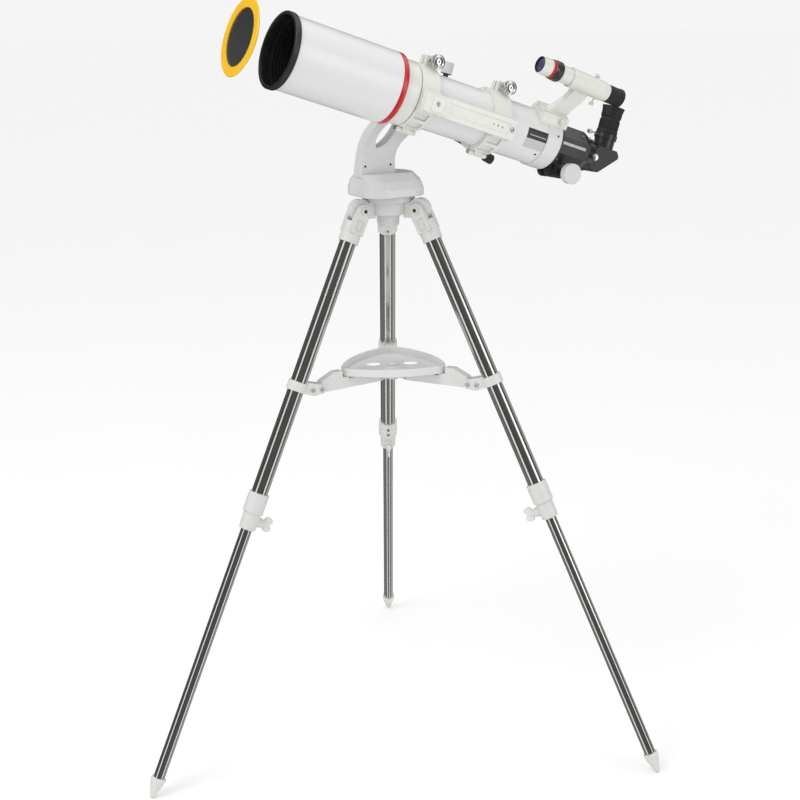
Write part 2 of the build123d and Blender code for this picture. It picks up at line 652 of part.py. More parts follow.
# hinged half of each ring: band with two windows, middle knuckle, near ear, flat seat for the rail
with BuildPart() as ring_hinged_halves:
    for mid in (RING_1, RING_2):
        rear = mid - RING_W / 2
        with BuildSketch(cross_plane(rear)):
            Circle(RING_R)
            with Locations((-8.2, -58)):
                Rectangle(44, 12)
        extrude(amount=RING_W)
        # near ear of the clamp block
        with BuildSketch(cross_plane(rear)):
            with Locations((66.5, -7.2)):
                Rectangle(21, 10.6)
        extrude(amount=19)
        with BuildSketch(cross_plane(rear - 1)):
            Circle(TUBE_R)
        extrude(amount=RING_W + 2, mode=Mode.SUBTRACT)
        with BuildSketch(cross_plane(rear - 1)):
            with Locations((9, 50.6)):
                Rectangle(160, 102.8)
        extrude(amount=RING_W + 2, mode=Mode.SUBTRACT)
        # shallow windows cast into the lower part of the band
        for ang in (-152, -124):
            c, s = cos(radians(ang)), sin(radians(ang))
            win = Plane(origin=at(mid, 55.5 * c, 55.5 * s), x_dir=AX, z_dir=UP * c + SIDE * s)
            with BuildSketch(win):
                RectangleRounded(RING_W - 11, 21, 3)
            extrude(amount=8, mode=Mode.SUBTRACT)
        # room for the outer knuckles of the fixed half
        for z0 in (rear - 1, rear + RING_W - 10.2):
            with BuildSketch(cross_plane(z0)):
                with Locations((HINGE_X, 0)):
                    Circle(6.2)
                with Locations((HINGE_X - 3, 3)):
                    Rectangle(16, 6.6)
            extrude(amount=11.2, mode=Mode.SUBTRACT)
        # middle knuckle
        with BuildSketch(cross_plane(rear + 10.3)):
            with Locations((HINGE_X, 0)):
                Circle(5.2)
            with Locations((HINGE_X + 3, -4.4)):
                Rectangle(9, 6.4)
        extrude(amount=RING_W - 20.6)
        with BuildSketch(cross_plane(rear + 10)):
            with Locations((HINGE_X, 0)):
                Circle(2.54)
        extrude(amount=RING_W - 20, mode=Mode.SUBTRACT)
        with BuildSketch(side_plane(rear + 9.5, KNOB_X, -14)):
            Circle(4.06)
        extrude(amount=14, mode=Mode.SUBTRACT)
ring_hinged_halves.part.label = "ring_hinged_halves"
export_step(ring_hinged_halves.part, "parts/ring_hinged_halves.step")

# accessory rail that joins the two hinged halves, three tapped holes near its rear end
with BuildPart() as accessory_rail:
    with BuildSketch(side_plane(0, 0, -69.6)):
        with Locations((-138, -8.2)):
            RectangleRounded(208, 38, 3)
    extrude(amount=5.4)
    with BuildSketch(side_plane(0, 0, -71.6)):
        with Locations((-63.5, -8.2)):
            RectangleRounded(52, 34, 2.5)
    extrude(amount=3)
    with BuildSketch(side_plane(0, 0, -73.2)):
        with Locations((-66, -8.2)):
            RectangleRounded(26, 27, 2)
    extrude(amount=3)
    # shallow channel along the outer face
    with BuildSketch(side_plane(0, 0, -69.7)):
        with Locations((-163, -8.2)):
            Rectangle(128, 20)
    extrude(amount=1.0, mode=Mode.SUBTRACT)
    with BuildSketch(side_plane(0, 0, -74)):
        with Locations((-192, -8.4), (-202, -8.7), (-212, -9)):
            Circle(1.65)
    extrude(amount=12, mode=Mode.SUBTRACT)
    # counterbores of the two fixing screws
    with BuildSketch(side_plane(0, 0, -74)):
        with Locations((-64.6, -7.2), (-234, -7.4)):
            Circle(4.6)
    extrude(amount=7, mode=Mode.SUBTRACT)
accessory_rail.part.label = "accessory_rail"
export_step(accessory_rail.part, "parts/accessory_rail.step")

# knurled clamp knobs, one for each ring
for name, mid in (("ring_knob_front", RING_1), ("ring_knob_rear", RING_2)):
    station = mid - RING_W / 2 + 9.5
    with BuildPart() as ring_knob:
        with BuildSketch(side_plane(station, KNOB_X, -43)):
            Circle(13.0)
            with PolarLocations(13.5, 32):
                Circle(0.75, mode=Mode.SUBTRACT)
        extrude(amount=12)
        with BuildSketch(side_plane(station, KNOB_X, -31.5)):
            Circle(7)
        extrude(amount=17.5)
        with BuildSketch(side_plane(station, KNOB_X, -15)):
            Circle(4.0)
        extrude(amount=25)
        chamfer(ring_knob.faces().sort_by(Axis(P0, SIDE))[0].edges(), 0.7)
    ring_knob.part.label = name
    export_step(ring_knob.part, f"parts/{name}.step")

# ================================================================ optical tube
with BuildPart() as main_tube:
    with BuildSketch(cross_plane(-340)):
        Circle(TUBE_R - 0.05)
        Circle(TUBE_R - TUBE_T, mode=Mode.SUBTRACT)
    extrude(amount=340 - 21)
main_tube.part.label = "main_tube"
export_step(main_tube.part, "parts/main_tube.step")

with BuildPart() as lens_cell:
    with BuildSketch(SECTION):
        with BuildLine():
            Polyline((TUBE_R, -32.5), (CELL_R - 2, -32.5), (CELL_R, -30.5), (CELL_R, 4), (DEW_R - 3, 4), (DEW_R - 3, 18), (LENS_R + 0.1, 18),
                     (LENS_R + 0.1, -12), (48.5, -12), (48.5, -20), (TUBE_R, -20), close=True)
        make_face()
    revolve(axis=OPTICAL)
lens_cell.part.label = "lens_cell"
export_step(lens_cell.part, "parts/lens_cell.step")

with BuildPart() as dew_shield:
    with BuildSketch(SECTION):
        with BuildLine():
            Polyline((DEW_R - 2.9, DEW_REAR), (DEW_R - 0.6, DEW_REAR), (DEW_R - 0.6, 11), (DEW_R, 11), (DEW_R, DEW_FRONT),
                     (DEW_R - 2.9, DEW_FRONT), close=True)
        make_face()
    revolve(axis=OPTICAL)
dew_shield.part.label = "dew_shield"
export_step(dew_shield.part, "parts/dew_shield.step")

with BuildPart() as front_rim:
    with BuildSketch(SECTION):
        with BuildLine():
            Polyline((DEW_R - 3.0, 214), (DEW_R - 3.4, 215), (DEW_R - 3.6, 229), (DEW_R - 2.4, RIM_FRONT), (RIM_R - 1.2, RIM_FRONT), (RIM_R, RIM_FRONT - 1.2),
                     (RIM_R, DEW_FRONT + 1), (RIM_R - 1, DEW_FRONT), (DEW_R - 3.0, DEW_FRONT), close=True)
        make_face()
    revolve(axis=OPTICAL)
front_rim.part.label = "front_rim"
export_step(front_rim.part, "parts/front_rim.step")

# achromatic doublet in the cell, and the small objective of the finder
fa = radians(FINDER_ANGLE)
FDIR = UP * cos(fa) + SIDE * sin(fa)          # radial direction to the finder
F_FRONT = P0 + AX * -250 + FDIR * 143.0
F_REAR = P0 + AX * -449 + FDIR * 134.5
F_AX = (F_FRONT - F_REAR).normalized()
F_SIDE = F_AX.cross(FDIR).normalized()
F_SEC = Plane(origin=F_FRONT, x_dir=F_SIDE, z_dir=F_SIDE.cross(F_AX))     # local x radius, local y forward
F_AXIS = Axis(F_FRONT, F_AX)
with BuildPart() as objective_lenses:
    # front crown lens, rear flint lens behind a thin air gap
    with BuildSketch(SECTION):
        with BuildLine():
            Polyline((0, 9), (0, -3.5), (8, -3.5), (18, -3.0), (28, -2.0), (38, -0.8), (46, 0.5), (LENS_R, 1.5), (LENS_R, 4),
                     (46, 5.0), (38, 6.2), (28, 7.5), (18, 8.4), (8, 9), close=True)
        make_face()
    revolve(axis=OPTICAL)
    with BuildSketch(SECTION):
        with BuildLine():
            Polyline((0, -4.5), (8, -4.5), (18, -4.0), (28, -3.0), (38, -1.8), (46, -0.5), (LENS_R, 0.5), (LENS_R, -11.5),
                     (46, -11.1), (28, -10.1), (14, -9.6), (0, -9.6), close=True)
        make_face()
    revolve(axis=OPTICAL)
    # small objective of the finder
    with BuildSketch(F_SEC):
        with BuildLine():
            Polyline((0, -4), (3, -4), (6, -4.25), (9, -4.6), (12, -5.1), (14.4, -5.6), (14.4, -9), (0, -9), close=True)
        make_face()
    revolve(axis=F_AXIS)
objective_lenses.part.label = "objective_lenses"
export_step(objective_lenses.part, "parts/objective_lenses.step")

with BuildPart() as rear_cell:
    with BuildSketch(SECTION):
        with BuildLine():
            Polyline((TUBE_R, -327), (54.2, -327), (54.8, -328), (54.8, REAR_CELL_END + 1.5), (53.3, REAR_CELL_END),
                     (DRAW_R + 8, REAR_CELL_END), (DRAW_R + 8, -352), (TUBE_R - 4, -346), (TUBE_R - 4, -340.2), (TUBE_R, -340.2), close=True)
        make_face()
    revolve(axis=OPTICAL)
rear_cell.part.label = "rear_cell"
export_step(rear_cell.part, "parts/rear_cell.step")

# ================================================================ focuser
with BuildPart() as focuser_body:
    with BuildSketch(cross_plane(-370)):
        Circle(46)
    extrude(amount=370 + REAR_CELL_END)
    with BuildSketch(cross_plane(-432)):
        RegularPolygon(42.5, 8, rotation=22.5)
    extrude(amount=432 - 369)
    with BuildSketch(cross_plane(-432)):
        RegularPolygon(42.5, 8, rotation=22.5)
    with BuildSketch(cross_plane(-447)):
        RegularPolygon(35.5, 8, rotation=22.5)
    loft()
    # pinion housing below
    with BuildSketch(side_plane(PINION_T, PINION_X, -20)):
        with Locations((0, 8)):
            Rectangle(34, 20)
        Circle(12.5)
    extrude(amount=40)
    # bore and rack way
    with BuildSketch(cross_plane(-450)):
        Circle(DRAW_R + 0.08)
        with Locations((-34, 0)):
            Rectangle(14, 9.4)
    extrude(amount=95, mode=Mode.SUBTRACT)
    with BuildSketch(side_plane(PINION_T, PINION_X, -4.8)):
        Circle(9.6)
    extrude(amount=9.6, mode=Mode.SUBTRACT)
    with BuildSketch(side_plane(PINION_T, PINION_X, -30)):
        Circle(3.06)
    extrude(amount=60, mode=Mode.SUBTRACT)
focuser_body.part.label = "focuser_body"
export_step(focuser_body.part, "parts/focuser_body.step")

# drawtube with its rack below and the clamping collar at its rear end
with BuildPart() as drawtube:
    with BuildSketch(cross_plane(-462)):
        Circle(31.5)
    extrude(amount=14.4)
    with BuildSketch(cross_plane(-448)):
        Circle(DRAW_R)
    extrude(amount=98)
    with BuildSketch(cross_plane(-446)):
        with Locations((-33.4, 0)):
            Rectangle(8.8, 8)
    extrude(amount=88)
    with BuildSketch(cross_plane(-463)):
        Circle(16.0)
    extrude(amount=20, mode=Mode.SUBTRACT)
    with BuildSketch(cross_plane(-450)):
        Circle(DRAW_R - 2.5)
    extrude(amount=110, mode=Mode.SUBTRACT)
drawtube.part.label = "drawtube"
export_step(drawtube.part, "parts/drawtube.step")

# focus knobs on the pinion shaft: a large one on the near side and a small one on the arm side
with BuildPart() as focus_knobs:
    with BuildSketch(side_plane(PINION_T, PINION_X, -60)):
        Circle(3.0)
    extrude(amount=102)
    with BuildSketch(side_plane(PINION_T, PINION_X, -4.3)):
        Circle(8.6)
    extrude(amount=8.6)
    with BuildSketch(side_plane(PINION_T, PINION_X, -61)):
        Circle(19.8)
        with PolarLocations(20.5, 40):
            Circle(0.95, mode=Mode.SUBTRACT)
    extrude(amount=13)
    with BuildSketch(side_plane(PINION_T, PINION_X, 30.5)):
        Circle(13)
    extrude(amount=12)
    chamfer(focus_knobs.faces().sort_by(Axis(P0, SIDE))[-1].edges(), 0.8)
    with BuildSketch(side_plane(PINION_T, PINION_X, -48.5)):
        Circle(7)
    extrude(amount=27.5)
    with BuildSketch(side_plane(PINION_T, PINION_X, 21)):
        Circle(7)
    extrude(amount=10)
focus_knobs.part.label = "focus_knobs"
export_step(focus_knobs.part, "parts/focus_knobs.step")

# star diagonal: nose barrel, prism box and eyepiece holder
with BuildPart() as star_diagonal:
    with BuildSketch(cross_plane(-484)):
        Circle(15.9)
    extrude(amount=40)
    with BuildSketch(side_plane(0, 0, -19)):
        with BuildLine():
            Polyline((-463, -20), (-463, 14), (-474, 18), (-476, 24), (-520, 24), (-527, 16), (-527, 10), (-487, -27), (-476, -27), close=True)
        make_face()
    extrude(amount=38)
    with BuildSketch(top_plane(EYEPIECE_T, 23)):
        Circle(20.3)
    extrude(amount=22)
    with BuildSketch(top_plane(EYEPIECE_T, 42)):
        Circle(22.8)
    extrude(amount=9.6)
    # light path
    with BuildSketch(cross_plane(-480)):
        Circle(13.5)
    extrude(amount=40, mode=Mode.SUBTRACT)
    with BuildSketch(top_plane(EYEPIECE_T, 6)):
        Circle(13.5)
    extrude(amount=30, mode=Mode.SUBTRACT)
    with BuildSketch(cross_plane(EYEPIECE_T - 6)):
        Circle(13.5)
    extrude(amount=30, mode=Mode.SUBTRACT)
    with BuildSketch(top_plane(EYEPIECE_T, 24.5)):
        Circle(15.9)
    extrude(amount=40, mode=Mode.SUBTRACT)
star_diagonal.part.label = "star_diagonal"
export_step(star_diagonal.part, "parts/star_diagonal.step")

EP_SEC = Plane(origin=at(EYEPIECE_T), x_dir=SIDE, z_dir=SIDE.cross(UP))     # local x radius, local y up
with BuildPart() as eyepiece:
    with BuildSketch(EP_SEC):
        with BuildLine():
            Polyline((15.82, 25), (15.82, 52), (20.2, 52), (21, 53), (21, 60), (20.3, 61), (20.3, 80), (19.6, 81), (19.6, 84), (20.6, 85),
                     (20.6, 95), (22.6, 105), (22.6, 106.5), (17.5, 106.5), (14, 99), (11.5, 97), (11.5, 92), (14.2, 90), (14.2, 25), close=True)
        make_face()
    revolve(axis=Axis(at(EYEPIECE_T), UP))
eyepiece.part.label = "eyepiece"
export_step(eyepiece.part, "parts/eyepiece.step")

# ================================================================ finder
shoe_plane = Plane(origin=P0, x_dir=FDIR, z_dir=AX)
with BuildPart() as finder_shoe:
    with BuildSketch(shoe_plane.offset(-365)):
        with BuildLine():
            Polyline((40, -27), (52, -27), (60, -22), (66, -19.5), (66, -13), (60.5, -13), (60.5, 13), (66, 13), (66, 19.5), (60, 22), (52, 27), (40, 27), close=True)
        make_face()
    extrude(amount=60)
    with BuildSketch(shoe_plane.offset(-366)):
        Circle(TUBE_R + 2.82)
    extrude(amount=39, mode=Mode.SUBTRACT)
    with BuildSketch(shoe_plane.offset(-330)):
        Circle(TUBE_R)
    extrude(amount=30, mode=Mode.SUBTRACT)
finder_shoe.part.label = "finder_shoe"
export_step(finder_shoe.part, "parts/finder_shoe.step")

FY = AX.cross(FDIR)
stalk_plane = Plane(origin=P0 - FY * 7.5, x_dir=AX, z_dir=FY)          # local x station, local y = z cross x
with BuildPart() as finder_bracket:
    # foot that slides in the shoe
    with BuildSketch(shoe_plane.offset(-363)):
        with Locations((64, 0)):
            Rectangle(6.6, 25.6)
    extrude(amount=56)
    # leaning stalk
    with BuildSketch(stalk_plane):
        with BuildLine():
            Polyline((-320, 66), (-331, 80), (-340, 97), (-344, 124), (-378, 124), (-374, 100), (-366, 82), (-362, 66), close=True)
        make_face()
    extrude(amount=15)
    # shell round the finder tube
    with BuildSketch(F_SEC):
        with BuildLine():
            Polyline((16.6, -72), (18.6, -72), (18.6, -150), (16.8, -164), (14.0, -164), (14.0, -160), (16.6, -156), close=True)
        make_face()
    revolve(axis=F_AXIS)
    with BuildSketch(Plane(origin=F_FRONT - F_AX * 156, x_dir=FDIR, z_dir=F_AX)):
        Circle(16.6)
    extrude(amount=84.5, mode=Mode.SUBTRACT)
finder_bracket.part.label = "finder_bracket"
export_step(finder_bracket.part, "parts/finder_bracket.step")

with BuildPart() as finder_tube:
    with BuildSketch(F_SEC):
        with BuildLine():
            Polyline((14.5, 0), (15.6, 0), (16.1, -1), (16.4, -27), (18.4, -28), (18.9, -34), (18.9, -43), (17.6, -44.5), (16.0, -45), (16.0, -154), (14.5, -154), close=True)
        make_face()
    revolve(axis=F_AXIS)
finder_tube.part.label = "finder_tube"
export_step(finder_tube.part, "parts/finder_tube.step")

with BuildPart() as finder_eyepiece:
    with BuildSketch(F_SEC):
        with BuildLine():
            Polyline((0, -166), (13.8, -166), (13.8, -164.4), (16.4, -164.4), (17.0, -168), (16.9, -192), (18.0, -196), (18.0, -200), (12, -201), (9, -197), (0, -197), close=True)
        make_face()
    revolve(axis=F_AXIS)
finder_eyepiece.part.label = "finder_eyepiece"
export_step(finder_eyepiece.part, "parts/finder_eyepiece.step")

# ================================================================ thumb screws fixed to the telescope
with BuildPart() as thumb_screws:
    # focuser lock below the body
    lock = Plane(origin=at(-379, -40.5, -12), x_dir=AX, z_dir=-UP)
    with BuildSketch(lock):
        Circle(2.5)
    extrude(amount=16)
    with BuildSketch(lock.offset(15)):
        Circle(3.6)
        with Locations((6, 0), (-6, 0)):
            Circle(3.6)
        Rectangle(12, 5)
    extrude(amount=6)
    # two adjusting screws of the finder shell, 120 degrees apart from its spring plunger
    for ang in (62, -168):
        c, s = cos(radians(ang)), sin(radians(ang))
        radial = FDIR * c + F_SIDE * s
        screw = Plane(origin=F_FRONT - F_AX * 146 + radial * 18.7, x_dir=F_AX, z_dir=radial)
        with BuildSketch(screw):
            Circle(1.6)
        extrude(amount=9)
        with BuildSketch(screw.offset(8)):
            Circle(2.6)
            with Locations((2.6, 0), (-2.6, 0)):
                Circle(2.4)
        extrude(amount=6)
    # clamp screw of the finder shoe
    clamp = Plane(origin=P0 + AX * -349 + FDIR * 62 - FY * 22.4, x_dir=AX, z_dir=-FY)
    with BuildSketch(clamp):
        Circle(2.2)
    extrude(amount=5)
    with BuildSketch(clamp.offset(4)):
        Circle(6)
    extrude(amount=5.5)
thumb_screws.part.label = "thumb_screws"
export_step(thumb_screws.part, "parts/thumb_screws.step")

# ================================================================ solar filter
with BuildPart() as solar_filter_ring:
    with BuildSketch(SECTION):
        with BuildLine():
            Polyline((51.5, FILTER_T - 1.2), (56, FILTER_T - 1.2), (56, FILTER_T - 7), (57.6, FILTER_T - 7), (58.6, FILTER_T - 1.2), (68.2, FILTER_T - 1.2), (69.5, FILTER_T), (68.2, FILTER_T + 1.4),
                     (53, FILTER_T + 1.4), (51.5, FILTER_T + 0.9), close=True)
        make_face()
    revolve(axis=OPTICAL)
solar_filter_ring.part.label = "solar_filter_ring"
export_step(solar_filter_ring.part, "parts/solar_filter_ring.step")

with BuildPart() as solar_filter_foil:
    with BuildSketch(cross_plane(FILTER_T - 2.0)):
        Circle(55.9)
    extrude(amount=0.75)
solar_filter_foil.part.label = "solar_filter_foil"
export_step(solar_filter_foil.part, "parts/solar_filter_foil.step")
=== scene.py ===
import math
from math import sin, cos, pi, radians
import bpy
import bmesh
from mathutils import Vector, Matrix


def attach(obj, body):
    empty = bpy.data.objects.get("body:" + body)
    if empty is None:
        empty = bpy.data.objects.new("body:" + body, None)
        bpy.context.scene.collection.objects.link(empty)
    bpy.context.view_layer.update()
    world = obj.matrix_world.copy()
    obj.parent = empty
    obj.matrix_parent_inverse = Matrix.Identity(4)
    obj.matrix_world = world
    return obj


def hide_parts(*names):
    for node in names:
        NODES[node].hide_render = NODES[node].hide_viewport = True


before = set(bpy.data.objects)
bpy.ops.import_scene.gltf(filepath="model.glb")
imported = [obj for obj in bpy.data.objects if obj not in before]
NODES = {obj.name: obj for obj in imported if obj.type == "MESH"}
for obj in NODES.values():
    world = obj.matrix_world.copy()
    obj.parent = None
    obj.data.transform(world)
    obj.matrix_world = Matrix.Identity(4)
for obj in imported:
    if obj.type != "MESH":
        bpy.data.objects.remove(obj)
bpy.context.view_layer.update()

# ------------------------------------------------------------------ frames (metres)
A, E = radians(26.0), radians(18.7)
AX = Vector((-cos(A) * cos(E), -sin(A) * cos(E), sin(E)))
UP = Vector((cos(A) * sin(E), sin(A) * sin(E), cos(E)))
SIDE = AX.cross(UP)
AHEAD = Vector((-cos(A), -sin(A), 0))
P0 = Vector((0, -0.1456, 1.326))


def at(t, x=0.0, y=0.0):
    """Point at station t on the optical axis, x up, y towards the arm; arguments in millimetres."""
    return P0 + AX * t / 1000 + UP * x / 1000 + SIDE * y / 1000


FA = radians(-32.0)
FDIR = UP * cos(FA) + SIDE * sin(FA)
F0 = P0 + AX * -0.250 + FDIR * 0.143
F1 = P0 + AX * -0.449 + FDIR * 0.1345
FAX = (F0 - F1).normalized()
FSIDE = FAX.cross(FDIR).normalized()
LEGS = {"left": 210.0, "right": 330.0, "rear": 90.0}


def leg_frame(azimuth):
    a, tilt = radians(azimuth), radians(24.86)
    rho, tau, k = Vector((cos(a), sin(a), 0)), Vector((-sin(a), cos(a), 0)), Vector((0, 0, 1))
    return rho, tau, rho * 0.0674 + k * 1.0908, rho * sin(tilt) - k * cos(tilt), rho * -cos(tilt) - k * sin(tilt)


# ------------------------------------------------------------------ node materials
class Mat:
    def __init__(self, name):
        self.m = bpy.data.materials.new(name)
        self.m.use_nodes = True
        self.t = self.m.node_tree
        self.t.nodes.clear()
        self.out = self.n("ShaderNodeOutputMaterial")
        self.b = self.n("ShaderNodeBsdfPrincipled")
        self.l(self.b.outputs[0], self.out.inputs[0])
        self.co = self.n("ShaderNodeTexCoord").outputs["Object"]

    def n(self, kind, **kw):
        node = self.t.nodes.new(kind)
        for k, v in kw.items():
            setattr(node, k, v)
        return node

    def l(self, a, b):
        self.t.links.new(a, b)

    def math(self, op, a, b=None, c=None):
        node = self.n("ShaderNodeMath", operation=op)
        for i, v in enumerate((a, b, c)):
            if v is None:
                continue
            if hasattr(v, "is_linked"):
                self.l(v, node.inputs[i])
            else:
                node.inputs[i].default_value = v
        return node.outputs[0]

    def vec(self, op, a, b=None, out=0):
        node = self.n("ShaderNodeVectorMath", operation=op)
        for i, v in enumerate((a, b)):
            if v is None:
                continue
            if hasattr(v, "is_linked"):
                self.l(v, node.inputs[i])
            else:
                node.inputs[i].default_value = v
        return node.outputs[out]

    def noise(self, scale, detail=3.0, rough=0.5, co=None):
        node = self.n("ShaderNodeTexNoise")
        node.inputs["Scale"].default_value = scale
        node.inputs["Detail"].default_value = detail
        node.inputs["Roughness"].default_value = rough
        self.l(co or self.co, node.inputs["Vector"])
        return node.outputs[0]

    def ramp(self, fac, stops):
        node = self.n("ShaderNodeValToRGB")
        els = node.color_ramp.elements
        while len(els) < len(stops):
            els.new(0.5)
        for e, (p, c) in zip(els, stops):
            e.position = p
            e.color = (c, c, c, 1) if not isinstance(c, tuple) else (*c, 1)
        self.l(fac, node.inputs[0])
        return node.outputs[0]

    def mix(self, fac, a, b):
        node = self.n("ShaderNodeMix", data_type="RGBA")
        for i, v in ((0, fac), (6, a), (7, b)):
            if hasattr(v, "is_linked"):
                self.l(v, node.inputs[i])
            elif i == 0:
                node.inputs[i].default_value = v
            else:
                node.inputs[i].default_value = (*v, 1)
        return node.outputs[2]

    def mixf(self, fac, a, b):
        node = self.n("ShaderNodeMix", data_type="FLOAT")
        for i, v in ((0, fac), (2, a), (3, b)):
            if hasattr(v, "is_linked"):
                self.l(v, node.inputs[i])
            else:
                node.inputs[i].default_value = v
        return node.outputs[0]

    def along(self, origin, axis):
        """Distance of a point along an axis, in metres."""
        d = self.vec("SUBTRACT", self.co, tuple(origin))
        return self.vec("DOT_PRODUCT", d, tuple(axis), 1)

    def radius(self, origin, axis):
        d = self.vec("SUBTRACT", self.co, tuple(origin))
        c = self.vec("CROSS_PRODUCT", d, tuple(axis))
        return self.vec("LENGTH", c, None, 1)

    def between(self, v, lo, hi):
        return self.math("MULTIPLY", self.math("GREATER_THAN", v, lo), self.math("LESS_THAN", v, hi))

    def bump(self, height, strength, distance, bevel=0.0):
        node = self.n("ShaderNodeBump")
        node.inputs["Strength"].default_value = strength
        node.inputs["Distance"].default_value = distance
        self.l(height, node.inputs["Height"])
        if bevel:
            bev = self.n("ShaderNodeBevel", samples=4)
            bev.inputs[0].default_value = bevel
            self.l(bev.outputs[0], node.inputs["Normal"])
        self.l(node.outputs[0], self.b.inputs["Normal"])
        return node

    def set(self, **kw):
        for k, v in kw.items():
            self.b.inputs[k.replace("_", " ")].default_value = v
        return self


def enamel(name, color, rough=0.32, vary=0.035, peel=0.05, coat=0.25, bevel=0.0006, dust=0.05, spread=0.08):
    """Painted or moulded surface: faint mottling, dust in broad patches, orange peel, uneven gloss."""
    m = Mat(name)
    broad = m.noise(9.0, 4.0, 0.6)
    fine = m.noise(160.0, 3.0, 0.5)
    tone = m.math("ADD", m.math("MULTIPLY", broad, 0.6), m.math("MULTIPLY", fine, 0.4))
    dark = tuple(c * (1 - vary * 2) for c in color)
    light = tuple(min(1.0, c * (1 + vary)) for c in color)
    base = m.mix(m.ramp(tone, [(0.35, 0.0), (0.65, 1.0)]), dark, light)
    warm = (color[0] * 0.93, color[1] * 0.915, color[2] * 0.88)
    patch = m.ramp(m.noise(26.0, 5.0, 0.65), [(0.55, 0.0), (0.75, dust)])
    m.l(m.mix(patch, base, warm), m.b.inputs["Base Color"])
    m.l(m.math("ADD", m.math("MULTIPLY", m.noise(45.0, 4.0, 0.6), spread), rough - spread / 2), m.b.inputs["Roughness"])
    m.set(Coat_Weight=coat, Coat_Roughness=0.12, IOR=1.5)
    m.bump(m.noise(900.0, 2.0, 0.5), peel, 0.0004, bevel)
    return m


def steel_tube(name, origin, axis):
    """Polished tube with fine lines drawn along it."""
    m = Mat(name)
    s = m.along(origin, axis)
    d = m.vec("SUBTRACT", m.co, tuple(origin))
    axial = m.n("ShaderNodeVectorMath", operation="SCALE")
    axial.inputs[0].default_value = tuple(axis)
    m.l(m.math("MULTIPLY", s, 0.985), axial.inputs[3])
    flat = m.vec("SUBTRACT", d, axial.outputs[0])
    lines = m.noise(1400.0, 2.0, 0.6, flat)
    cloud = m.noise(14.0, 4.0, 0.6)
    base = m.mix(lines, (0.60, 0.585, 0.565), (0.73, 0.715, 0.69))
    m.l(m.mix(m.ramp(cloud, [(0.4, 0.0), (0.8, 0.14)]), base, (0.50, 0.485, 0.465)), m.b.inputs["Base Color"])
    m.l(m.math("ADD", m.math("MULTIPLY", lines, 0.06), m.math("ADD", m.math("MULTIPLY", cloud, 0.04), 0.10)), m.b.inputs["Roughness"])
    m.set(Metallic=1.0)
    m.bump(lines, 0.012, 0.0001)
    return m


def metal(name, color, rough=0.22, scale=700.0, bump=0.05, wear=0.3):
    m = Mat(name)
    fine = m.noise(scale, 3.0, 0.6)
    broad = m.noise(60.0, 4.0, 0.6)
    m.l(m.mix(m.ramp(broad, [(0.4, 0.0), (0.75, wear)]), color, tuple(c * 0.62 for c in color)), m.b.inputs["Base Color"])
    m.l(m.math("ADD", m.math("MULTIPLY", fine, 0.14), m.math("ADD", m.math("MULTIPLY", broad, 0.08), rough - 0.1)), m.b.inputs["Roughness"])
    m.set(Metallic=1.0)
    m.bump(fine, bump, 0.0002, 0.0003)
    return m


def black(name, color=(0.018, 0.018, 0.019), rough=0.34, bump=0.08, grain=1100.0, coat=0.15):
    m = Mat(name)
    fine = m.noise(grain, 2.0, 0.5)
    broad = m.noise(30.0, 5.0, 0.65)
    lift = tuple(c * 2.6 + 0.012 for c in color)
    m.l(m.mix(m.ramp(broad, [(0.45, 0.0), (0.8, 0.35)]), color, lift), m.b.inputs["Base Color"])
    m.l(m.math("ADD", m.math("MULTIPLY", broad, 0.18), rough - 0.09), m.b.inputs["Roughness"])
    m.set(Coat_Weight=coat, Coat_Roughness=0.2)
    m.bump(fine, bump, 0.0003, 0.0005)
    return m


WHITE = (0.665, 0.668, 0.668)
TUBE = (0.715, 0.718, 0.716)
CREAM = (0.715, 0.722, 0.675)
CAST = (0.655, 0.668, 0.645)
MOUNT = (0.650, 0.657, 0.655)
m_white = enamel("gloss_white_enamel", WHITE, rough=0.24, coat=0.6, peel=0.03, bevel=0.0)
m_cream = enamel("cream_casting_enamel", CREAM, rough=0.34, peel=0.09, bevel=0.0008)
m_cast = enamel("tripod_casting_enamel", CAST, rough=0.38, peel=0.11, bevel=0.0010)
m_mount = enamel("mount_housing_enamel", MOUNT, rough=0.33, peel=0.08, bevel=0.0015)
m_tray = enamel("tray_moulding", (0.70, 0.705, 0.70), rough=0.32, coat=0.25, peel=0.05, bevel=0.0006, vary=0.012, dust=0.0)
m_plastic = enamel("white_knob_moulding", (0.70, 0.705, 0.67), rough=0.4, coat=0.0, peel=0.12, bevel=0.0008)
m_knob = enamel("light_grey_knob", (0.60, 0.605, 0.60), rough=0.36, coat=0.1, peel=0.1, bevel=0.0004)
m_black = black("black_satin_paint")
m_rubber = black("black_rubber", (0.014, 0.014, 0.015), 0.62, 0.22, 1600.0, 0.0)
m_matte = black("matt_black_flocking", (0.008, 0.008, 0.008), 0.85, 0.4, 2200.0, 0.0)
m_chrome = metal("plated_brass", (0.78, 0.78, 0.77), 0.18, 500.0, 0.04, 0.15)
m_steel = metal("zinc_plated_steel", (0.60, 0.58, 0.53), 0.30, 700.0, 0.08, 0.4)
m_brassy = metal("passivated_bolt", (0.58, 0.45, 0.30), 0.32, 800.0, 0.08, 0.4)
# painted shade: small screws coloured near-black all over so they read as shaded holes
m_hole_shade = black("painted_hole_shade", (0.010, 0.009, 0.008), 0.55, 0.2, 1500.0, 0.0)


def assign(material, *names):
    for name in names:
        ob = NODES[name]
        ob.data.materials.clear()
        ob.data.materials.append(material)


# ------------------------------------------------------------------ carried-over nodes
assign(m_cast.m, "tripod_head", *[f"leg_yoke_{s}" for s in LEGS], *[f"spreader_collar_{s}" for s in LEGS],
       *[f"leg_lock_{s}" for s in LEGS], "spreader_hub", *[f"spreader_arm_{s}" for s in LEGS])
